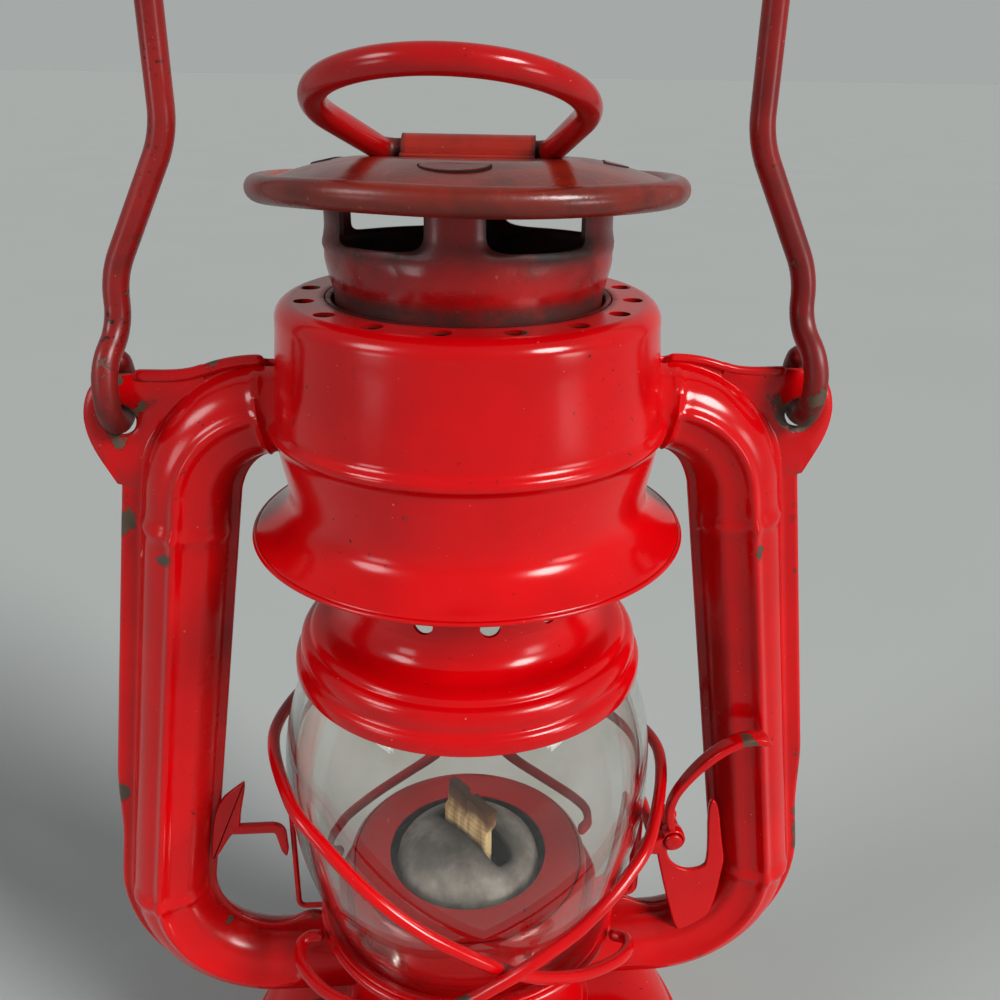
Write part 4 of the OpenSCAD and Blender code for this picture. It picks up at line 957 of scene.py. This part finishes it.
def cap_pieces():
    """Cap: a turned section, flat on top, with a rolled bead; it leans back by a share of the depth and
    waves a little, with a trough under the ring's hinge. A strap stands over the hinge and four half-moon
    tabs lie on the slope, each traced round its outline and slit by a thin black wire as painted shade."""
    bead = arc((27.85, CAP_Z - 0.25), 1.75, 150, -150, 26)
    top = chain(xyz(np.linspace(0.3, 14.4, 30), CREST_Z),
                bez((15, CREST_Z), (18, CREST_Z - 0.1), (23, 193.2), (25.9, 192.2), 14))
    under = chain([(25.6, CAP_Z)], bez((25.0, 191.3), (21, 192.4), (18, 193.3), (15, 193.4), 10),
                  [(0.3, 193.4)])
    section = chain(top, bead, under)

    def wave(a, r, z):
        swell = 0.12 * np.sin(2 * a + 0.6) + 0.1 * np.sin(3 * a + 2.1) + 0.06 * np.sin(5 * a)
        u = r * np.cos(a - CHIMNEY_TURN)
        v = r * np.sin(a - CHIMNEY_TURN)
        floor = RING_Z - np.sqrt(np.clip(GROOVE_R ** 2 - v ** 2, 0, None))
        floor = floor + 9 * fade(np.abs(v), RING_WIRE, GROOVE_R)
        sink = np.clip(z - floor, 0, 1.2) * (z > CREST_Z - 0.3) * (1 - fade(np.abs(u), 12.2, 13.2))
        return (r / 29) ** 2 * swell - LEAN_BACK * r * np.sin(a) - sink

    # Painted shade: the bead darkens towards its underside; under the cap the mark is soot.
    marks = chain(np.linspace(0.0, 0.12, len(top)), np.linspace(0.05, 0.6, len(bead)),
                  np.full(len(under), 1.0))
    turned("cap_disc", section, "chimney", BURNT, "cap", 220, marks, wave)

    foot = RING_Z - 0.65
    arch = chain([(-3.3, foot), (-2.5, foot + 0.1)], arc((0, RING_Z), 1.72, 196, -16, 20),
                 [(2.5, foot + 0.1), (3.3, foot)])
    loop = walled(arch, 0.55)
    x = np.linspace(-8.85, 8.85, 24)
    grid = xyz(x[:, None], loop[None, :, 0], loop[None, :, 1])
    # The strap's ends, where the ring goes in, are marked dark: soot and painted shade.
    ends = 0.9 * fade(np.abs(x), 8.2, 8.8)[:, None] + 0 * loop[None, :, 0]
    skin("ring_strap", about_axis(grid, CHIMNEY_TURN), "chimney", STRAP_RED, None, ends, 40, capped=True)

    k = np.radians(np.linspace(-90, 90, 21))
    moon = xyz(3.3 * np.cos(k), 4.3 * np.sin(k))
    flat = soften(chain(moon, [(0.15, 2.6), (0.15, 0), (0.15, -2.6)]), 1)
    for i in range(4):
        turn = CHIMNEY_TURN + i * np.pi / 2

        def place(p, turn=turn):
            r = 17.9 + p[:, 0]
            rest = np.interp(np.hypot(r, p[:, 2]), top[:, 0], top[:, 1])
            q = about_axis(xyz(r, p[:, 2], rest + p[:, 1]), turn)
            q[:, 2] -= LEAN_BACK * q[:, 1]
            return q

        plate(f"cap_tab_{i}", flat, -0.3, 0.2, "chimney", BURNT, None, 0.2, 0.0, place)
        # Painted shade: a thin black wire along each tab's outline and slit stands for the shade in the
        # slit.
        edge = place(xyz(moon[:, 0], 0.0, moon[:, 1]))
        slit = place(xyz(0.1, 0.0, np.linspace(4.2, -4.2, 9)))
        slit_shade = wire(f"cap_tab_slit_shade_{i}", chain(edge, slit[1:]), 0.17, "chimney", SHADE_AND_SOOT_BLACK, sides=8)


def ring_path():
    """Lifting ring in its own plane: ends in the strap, small root bends, straight legs that draw together
    and one round bow that they touch."""
    b, bow, reach, xb, aside = 2.4, 15.7, 34.5, 9.25, -0.4
    yc = reach - bow
    phi = math.atan2(yc - b, -xb) - math.asin((bow - b) / math.hypot(xb, yc - b))
    a = 90 - math.degrees(phi)
    end = xyz(np.linspace(3.2, xb, 8)[:-1], 0.0)
    root = arc((xb, b), b, -90, -a, 10)
    turn = arc((0, yc), bow, -a, 90, 60)
    leg = root[-1] + np.linspace(0, 1, 14)[1:-1, None] * (turn[0] - root[-1])
    right = chain(end, root, leg, turn)
    flat = chain(right, right[-2::-1] * np.array([-1, 1]))
    p = xyz(flat[:, 0] + aside, -flat[:, 1] * math.cos(RING_LEAN),
            RING_Z + flat[:, 1] * math.sin(RING_LEAN))
    return about_axis(p, CHIMNEY_TURN)


def ring_piece():
    """The ring's wire, with its plane's normal as the reference of the sweep, darkened at its roots by soot
    and painted shade.
    """
    normal = about_axis(np.array([0, math.sin(RING_LEAN), math.cos(RING_LEAN)]), CHIMNEY_TURN)
    path = ring_path()
    s = np.linspace(-1, 1, len(path))
    made = wire("lifting_ring_wire", path, RING_WIRE, "ring", RING_RED, "lifting_ring", normal, 28,
                0.25 + 0.4 * fade(np.abs(s), 0.8, 0.95))
    # Painted shade and soot where the ring's ends go into the strap.
    roots = chain(path[:12], path[-12:])
    touch(made, "dark", [(*q, 1.9, 0.36) for q in roots])
    touch(made, "dark", [(-23.5, -22, 203, 5, 0.5), (21, -25, 203, 4, 0.35)])


# Bail

def bail_path():
    """Right half of the bail, from its eye to the top: a loop, a sway, a kink with a straight run, an
    upright leg and a round bow. Each starts where the last ends."""
    kink, q, kr, in_x, eye, run = 26.0, 8.0, 15.0, 1.9, 4.6, 13.4
    x0 = EAR[0]
    sway = math.hypot(in_x, eye)
    turn = math.degrees(math.acos(1 - sway / (2 * q)))
    sway_z = BAIL_Z + 1
    rise = 2 * q * math.sin(math.radians(turn))
    loop = arc((0, BAIL_Z), eye, 45, -180, 44)
    loop = xyz(x0, loop[:, 0], loop[:, 1])
    s1 = arc((q, 0), q, 180, 180 - turn, 10)
    s2 = arc((sway - q, rise), q, -turn, 0, 10)
    s = chain(s1, s2[1:])
    w = np.array([-in_x, eye]) / sway
    swing = xyz(x0 + s[:, 0] * w[0], -eye + s[:, 0] * w[1], sway_z + s[:, 1])

    bend = kr * (pol(kink) - (1, 0))
    k0 = np.array([x0 - in_x, sway_z + rise])
    k1 = k0 + bend
    k2 = k1 + run * np.array([-pol(kink)[1], pol(kink)[0]])
    k3 = k2 + bend
    k4 = np.array([k3[0], BAIL_Z + BAIL_H - k3[0]])
    straight = np.linspace(0, 1, 16)[1:-1, None]
    upright = np.linspace(0, 1, 30)[1:-1, None]
    flat = chain(arc(k0 - (kr, 0), kr, 0, kink, 10)[1:], k1 + straight * (k2 - k1),
                 arc(k2 + kr * pol(kink), kr, 180 + kink, 180, 10), k3 + upright * (k4 - k3),
                 arc((0, k4[1]), k4[0], 0, 90, 60))
    flat = xyz(flat[:, 0], 0.0, flat[:, 1])
    return chain(loop, swing, flat)


def bail_piece():
    """Whole bail: the half path and its mirror image, joined at the top. The sweep's reference turns from
    the sideways direction at the eyes to the front direction along the arch."""
    right = bail_path()
    left = right[-2::-1] * np.array([-1, 1, 1])
    path = chain(right, left)
    share = fade(path[:, 2], BAIL_Z + 1, BAIL_Z + 9)[:, None]
    ref = (1 - share) * np.array([1.0, 0, 0]) * np.sign(path[:, :1] + 1e-6) + share * np.array([0, 1.0, 0])
    eye = bell_curve(path[:, 2], BAIL_Z - 3, 6)
    made = wire("bail_wire", path, BAIL_WIRE, "bail", BAIL_RED, "bail", unit(ref), 24, 0.2 + 0.5 * eye)
    touch(made, "dark", [(side * EAR[0], y, BAIL_Z - 3, 6, 0.6) for side in (-1, 1) for y in (-3, 3)])


# Globe carriage

def guard_route(rows, turn):
    """Guard wire: rows of angle, distance and height on both sides of its high point, through a curve whose
    tangent at each row is half the step between its neighbours."""
    rows = np.array(rows, float)
    a = np.radians(chain(-rows[::-1, 0], rows[1:, 0]))
    r = chain(rows[::-1, 1], rows[1:, 1])
    z = SEAT_Z + chain(rows[::-1, 2], rows[1:, 2])
    k = xyz(r * np.cos(a + turn), r * np.sin(a + turn), z)
    before = chain(k[:1], k[:-2])
    after = chain(k[2:], k[-1:])
    t = np.linspace(0, 1, 12, endpoint=False)[None, :, None]
    a, b, c, d = before[:, None], k[:-1, None], k[1:, None], after[:, None]
    q = b + t * (c - a) / 2 + t * t * (2 * a - 5 * b + 4 * c - d) / 2 + t ** 3 * (3 * b - a - 3 * c + d) / 2
    return chain(q.reshape(-1, 3), k[-1:])


HIGH_ROWS = [(0, 32.6, 37.6), (30, 32.6, 36.8), (45, 32.5, 34.2), (60, 32.1, 29), (75, 31.4, 23.1),
             (90, 30.6, 17.4), (100, 29.9, 13.1), (112, 29.6, 9.2), (126, 30.2, 6), (139, 31.3, 4),
             (147, 31.6, 3), (152, 30.4, 2.1), (153, 28.2, 1.5)]
LOW_ROWS = [(0, 33.5, 31.1), (30, 33.5, 28.4), (45, 33.4, 25.2), (60, 33.1, 21.5), (72.5, 32.7, 18),
            (84, 32.3, 13.9), (97, 31.8, 8.8), (112, 31.4, 5.2), (126, 31.7, 2.9), (140, 32.3, 1.4),
            (152, 32.5, 0.8), (159, 31.6, 0.9), (161, 30, 1.3), (160, 28.2, 1.5)]


def carriage_pieces():
    """Gallery, globe and guard wires, which rise together."""
    plate_line = chain([0.85 * pol(80) + (25.75, SEAT_Z + 0.35)],
                       eased([(25.4, SEAT_Z, 0), (21.6, SEAT_Z, 0.5), (21.3, SEAT_Z + 10.1, 1.2),
                              (20.0, SEAT_Z + 10.5, 0.6), (14.4, SEAT_Z + 10.5, 0)])[1:])
    shell = walled(plate_line, -0.55)
    # Painted shade: the plate's underside and the boss's inner faces, seen through the gap round the burner
    # cone, are marked dark.
    gap_shade = np.zeros(len(shell))
    gap_shade[:len(plate_line)] = 1.0
    turned("gallery_plate", shell, "globe_carriage", RED, "gallery", dark=gap_shade)
    turned("gallery_roll", arc((25.95, SEAT_Z + 0.3), 0.85, 0, 342, 15), "globe_carriage", RED, wear=0.5)
    h = np.linspace(0, GLOBE_H - GLOBE_HIDDEN, 110)
    low = GLOBE_R - 7.0 * (1 - np.maximum(h - 1.5, 0) / 30.5) ** 2
    high = GLOBE_R - 7.27 * ((h - GLOBE_WAIST) / (GLOBE_H - GLOBE_WAIST)) ** 2
    high = high - 0.4 * fade(h, 38, 51) - 2.0 * fade(h, 52.4, 57)
    r = np.where(h < GLOBE_WAIST, low, high)
    line = xyz(r, GLOBE_Z + h)
    line[0, 1] += 0.8
    line[-1, 1] -= 0.8
    turned("globe_glass", walled(line, 1.7), "globe_carriage", GLASS, "globe", 192)
    for name, rows, turn in (("left", HIGH_ROWS, np.pi), ("right", LOW_ROWS, 0.0)):
        path = guard_route(rows, turn)
        front = bell_curve(np.linspace(0, 1, len(path)), 0.2 if turn == 0 else 0.8, 0.08)
        made = wire(f"guard_{name}", path, GUARD_WIRE, "globe_carriage", RED, f"guard_wire_{name}",
                    (0, 0, 1), 20, 0.1 + 0.3 * front)
        spot = (3.2, -29.8, 78.6, 2.0, 2.6) if turn else (-2.5, -31.7, 73.9, 2.6, 2.6)
        touch(made, "wear", [spot])


def lift_pieces():
    """Lever, forked bracket, guide hook and the two bent wires on which the gallery hangs."""
    pin = 1.5
    t = np.radians(np.arange(0, 65, 4))
    finger = 3.6 * xyz(-np.cos(t) - t * np.sin(t), -np.sin(t) + t * np.cos(t))
    hub = chain(arc((0, 0), 2.2, -110, 140, 30), [(-1.6, 0.7)], finger, [(-5.7, -2.4), (-2.2, -3)])
    holed_plate("lever_hub", hub + LEVER, LEVER, pin + 0.06, -8.24, -10.5, "lever", RED, "lift_lever")
    thumb = chain(bez((0.3, 1.2), (-1.5, 4), (-1.1, 8), (0.8, 11), 16),
                  bez((0.8, 11), (2, 13.2), (6.6, 19.8), (11.6, 20.1), 26)[1:],
                  bez((11.6, 20.1), (12.9, 20.2), (14.1, 20.0), (14.9, 19.2), 8)[1:])
    share = np.linspace(0, 1, len(thumb))
    arm = strip("lever_arm", thumb + LEVER, 1.35, 1.9 + 1.0 * fade(share, 0.2, 0.75), -9.4, "lever", RED,
                None, 0.5)
    touch(arm, "wear", [(45.3, -9.6, 105.6, 1.9, 2.8)])

    hub = LEVER - LOW_C
    leaf = chain(
        [(9.5, 17), (11.1, 7.6), (12, 3.6), (11.8, 1), (11.4, -5.5), (10.2, -10.8), (6.7, -13.6),
         (4.4, -13.6), (2.3, -6.2), (0.4, 1.2)],
        [hub + (-1.5, -5)], arc(hub, 2.2, 200, -20, 8),
        [hub + (0.8, -5), (1.2, 5.4), (2.5, 2.7), (5, 1.1), (7.8, 1.4), (9, 2.8), (7.6, 16.9)])
    plate("bracket_leaf", soften(leaf + LOW_C, 2), -3.5, -4.5, "frame", RED, "lift_bracket", 0.3, 0.3)
    section = chain([(0.05, -4.2), (1.8, -4.2), (1.8, -7.7), (1.8, -7.8), (pin, -7.8), (pin, -10.55)],
                    arc((1.05, -10.6), 0.5, 0, -80, 5), [(0.05, -11.1)])
    stud("bracket_stud", section, LEVER, "frame", RED)

    z0 = LEVER[1] - 1.6
    gusset = [(-43.8, z0 + 5.6), (-45.4, z0 - 6.2), (-44.4, z0 - 6.2), (-41.6, z0 - 1.2), (-40.3, z0 - 0.2),
              (-39.6, z0 + 1.4), (-39.4, z0 + 3.6), (-37.9, z0 + 10.2), (-38.8, z0 + 10.0)]
    plate("guide_gusset", soften(gusset, 2), -0.65, -1.65, "frame", RED, "left_guide", 0.3, 0.3)
    hook = eased([(-42.2, z0 + 0.1, 0), (-33.0, z0 + 0.1, 1.5), (-32.25, z0 - 6.0, 0)], 10)
    even_hook = np.linspace(0, 1, 40)
    step = lengths(hook)
    hook = np.stack([np.interp(even_hook * step[-1], step, hook[:, i]) for i in (0, 1)], -1)
    strip("guide_hook", hook, 1.9 - 0.7 * fade(even_hook, 0.6, 1), 1.1, -1.2, "frame", RED, None, 0.3)

    z1 = SEAT_Z - 1.15
    peg = LEVER[1] + 1.4
    rise = eased([(23.2, z1, 0), (31.0, z1, 1.6), (31.0, peg, 0)], 8)
    up = xyz(rise[:-1, 0], 0.0, rise[:-1, 1])
    bend = bez((31.0, 0, peg - 3), (31.0, 0, peg - 0.6), (31.0, -0.8, peg), (31.0, -3.2, peg), 10)
    peg_line = xyz(31.0, np.linspace(-5, -10.0, 4), peg)
    wire("lift_wire", chain(up, bend, peg_line), 0.95, "globe_carriage", RED, "lift_arm", (0.3, 1, 0.2), 16)
    left = xyz(-rise[:, 0], 0.0, np.minimum(rise[:, 1], z1 + 22.5))
    wire("guide_wire", left, 0.5, "globe_carriage", RED, "guide_arm", (0.3, 1, 0.2), 16)


# Burner

def burner_pieces():
    """Cone: rings between the slot's rounded outline and a circle, raised to dome + h sqrt(1 - (r/R)^2).
    Wick: a thin woven bar with a ragged, charred top."""
    phi = turns(96)
    long = np.cos(phi) / np.where(np.cos(phi) > 0, 9.6, 7.6)
    wide = np.sin(phi) / np.where(np.sin(phi) > 0, 3.4, 1.8)
    slot = (np.abs(long) ** 4 + np.abs(wide) ** 4) ** -0.25
    dome = CONE_Z + 11
    t = np.linspace(0, 1, 26) ** 0.8
    r = slot[None] + t[:, None] * (CONE_R - slot[None])
    z = dome + 7.4 * np.sqrt(np.clip(1 - (r / CONE_R) ** 2, 0, 1))
    skirt = np.linspace(dome - 1.5, CONE_Z + 0.1, 6)[:, None]
    r = chain(r, CONE_R + 0 * skirt + 0 * phi)
    z = chain(z, skirt + 0 * phi)
    inner = (r - 0.55)[::-1]
    z = chain(z, (z - 0.5)[::-1] + 0.5 * (inner > 12.3))
    r = chain(r, inner)
    a = phi[None] + WICK_TURN
    grid = xyz(r * np.cos(a), r * np.sin(a), z)
    # Soot near the slot; the skirt, facing the gap round the cone, and the inner face are darkened as
    # painted shade.
    soot_and_shade = chain((1 - t) ** 2 * 0.9, np.full(len(skirt), 0.2), np.ones(len(inner)))
    skin("burner_cone_shell", grid, "frame", BURNER_GREY, "burner_cone", soot_and_shade[:, None] + 0 * r)

    size = (np.abs(np.cos(phi)) ** 8 + np.abs(np.sin(phi)) ** 8) ** -0.125
    u = 5.5 * size * np.cos(phi)
    split = bell_curve(u, -0.7, 0.5)
    h = np.linspace(0, 1, 90)[:, None]
    top = WICK_TOP - 1.6 * split - 1.0 * fade(u, -1, 4) + 0.2 * np.sin(9 * u)
    z = WICK_Z + h * (top[None] - WICK_Z)
    shown = fade(z, 82.6, 84.6)
    v = (1.05 - 0.62 * split * shown) * size * np.sin(phi) + 0.3 * shown
    frill = 1 + 0.05 * np.sin(23 * h) * np.sin(7 * phi)[None] * fade(h, 0.85, 1)
    grid = about_axis(xyz(u[None] * frill + 0.7 * shown, v * frill, z), WICK_TURN)
    skin("wick_strip_woven", grid, "wick_strip", COTTON, "wick", split * shown, capped=True)


# Stage, light and camera

def stage():
    """Pale floor without a visible end, two wide, even lights from the left and the right and two low lamps
    that show on the glass."""
    mesh = bpy.data.meshes.new("floor")
    size = 40.0
    mesh.from_pydata([(-size, -size, 0), (size, -size, 0), (size, size, 0), (-size, size, 0)], [],
                     [(0, 1, 2, 3)])
    floor = show("floor", mesh)
    f = Finish("floor_paint")
    f.set(Base_Color=f.mix(f.noise(6, 3), srgb(182, 187, 185), srgb(188, 192, 190)), Roughness=0.85)
    f.set(Specular_IOR_Level=0.1)
    mesh.materials.append(f.material)
    world = bpy.data.worlds.new("studio")
    bpy.context.scene.world = world
    world.use_nodes = True
    tree = world.node_tree
    back = tree.nodes["Background"]
    back.inputs["Color"].default_value = srgb(206, 210, 212)
    back.inputs["Strength"].default_value = 0.17
    seen = tree.nodes.new("ShaderNodeBackground")
    seen.inputs["Color"].default_value = srgb(165, 169, 167)
    ray = tree.nodes.new("ShaderNodeLightPath")
    shown = ray.outputs["Is Camera Ray"]
    for kind in ("Is Glossy Ray", "Is Transmission Ray"):
        either = tree.nodes.new("ShaderNodeMath")
        either.operation = "MAXIMUM"
        tree.links.new(shown, either.inputs[0])
        tree.links.new(ray.outputs[kind], either.inputs[1])
        shown = either.outputs[0]
    both = tree.nodes.new("ShaderNodeMixShader")
    tree.links.new(shown, both.inputs["Fac"])
    tree.links.new(back.outputs["Background"], both.inputs[1])
    tree.links.new(seen.outputs["Background"], both.inputs[2])
    tree.links.new(both.outputs["Shader"], tree.nodes["World Output"].inputs["Surface"])

    def lamp(name, kind, place, aim, power, tint, **shape):
        data = bpy.data.lights.new(name, kind)
        data.energy = power
        data.color = tint
        for key, value in shape.items():
            setattr(data, key, value)
        obj = show(name, data)
        obj.location = place
        obj.rotation_mode = "QUATERNION"
        obj.rotation_quaternion = (Vector(aim) - Vector(place)).to_track_quat("-Z", "Y")

    lamp("right", "SUN", (0.7, -0.6, 0.6), (0, 0, 0), 3.05, (1, 0.985, 0.965), angle=math.radians(20))
    lamp("left", "SUN", (-0.85, -0.4, 0.55), (0, 0, 0), 1.05, (0.97, 0.985, 1), angle=math.radians(20))
    lamp("low_right", "AREA", (0.42, -0.3, 0.17), (0, 0, 0.1), 0.42, (1, 0.99, 0.97), size=0.13)
    lamp("low_left", "AREA", (-0.44, -0.3, 0.17), (0, 0, 0.1), 0.24, (0.98, 0.99, 1), size=0.12)


def camera():
    """Camera of the photograph: close, a little to the left, looking down about 23.5 degrees. Its focal
    length is 0.985 of the sensor's width."""
    data = bpy.data.cameras.new("view")
    data.sensor_width = 36
    data.lens = 0.985 * data.sensor_width
    data.clip_start = 0.005
    obj = show("view", data)
    pitch, yaw, roll = (math.radians(v) for v in (23.516, 4.757, 0.886))
    turn = Matrix.Rotation(-yaw, 4, "Z") @ Matrix.Rotation(math.pi / 2 - pitch, 4, "X")
    turn = turn @ Matrix.Rotation(roll, 4, "Z")
    obj.matrix_world = Matrix.Translation((-0.006684, -0.138863, 0.205276)) @ turn
    bpy.context.scene.camera = obj


camera()
stage()
fount_pieces()
filler_pieces()
knob_piece()
tubes()
hood_pieces()
bell_pieces()
crown_piece()
cap_pieces()
ring_piece()
bail_piece()
carriage_pieces()
lift_pieces()
burner_pieces()

bpy.context.scene.view_settings.view_transform = "Standard"
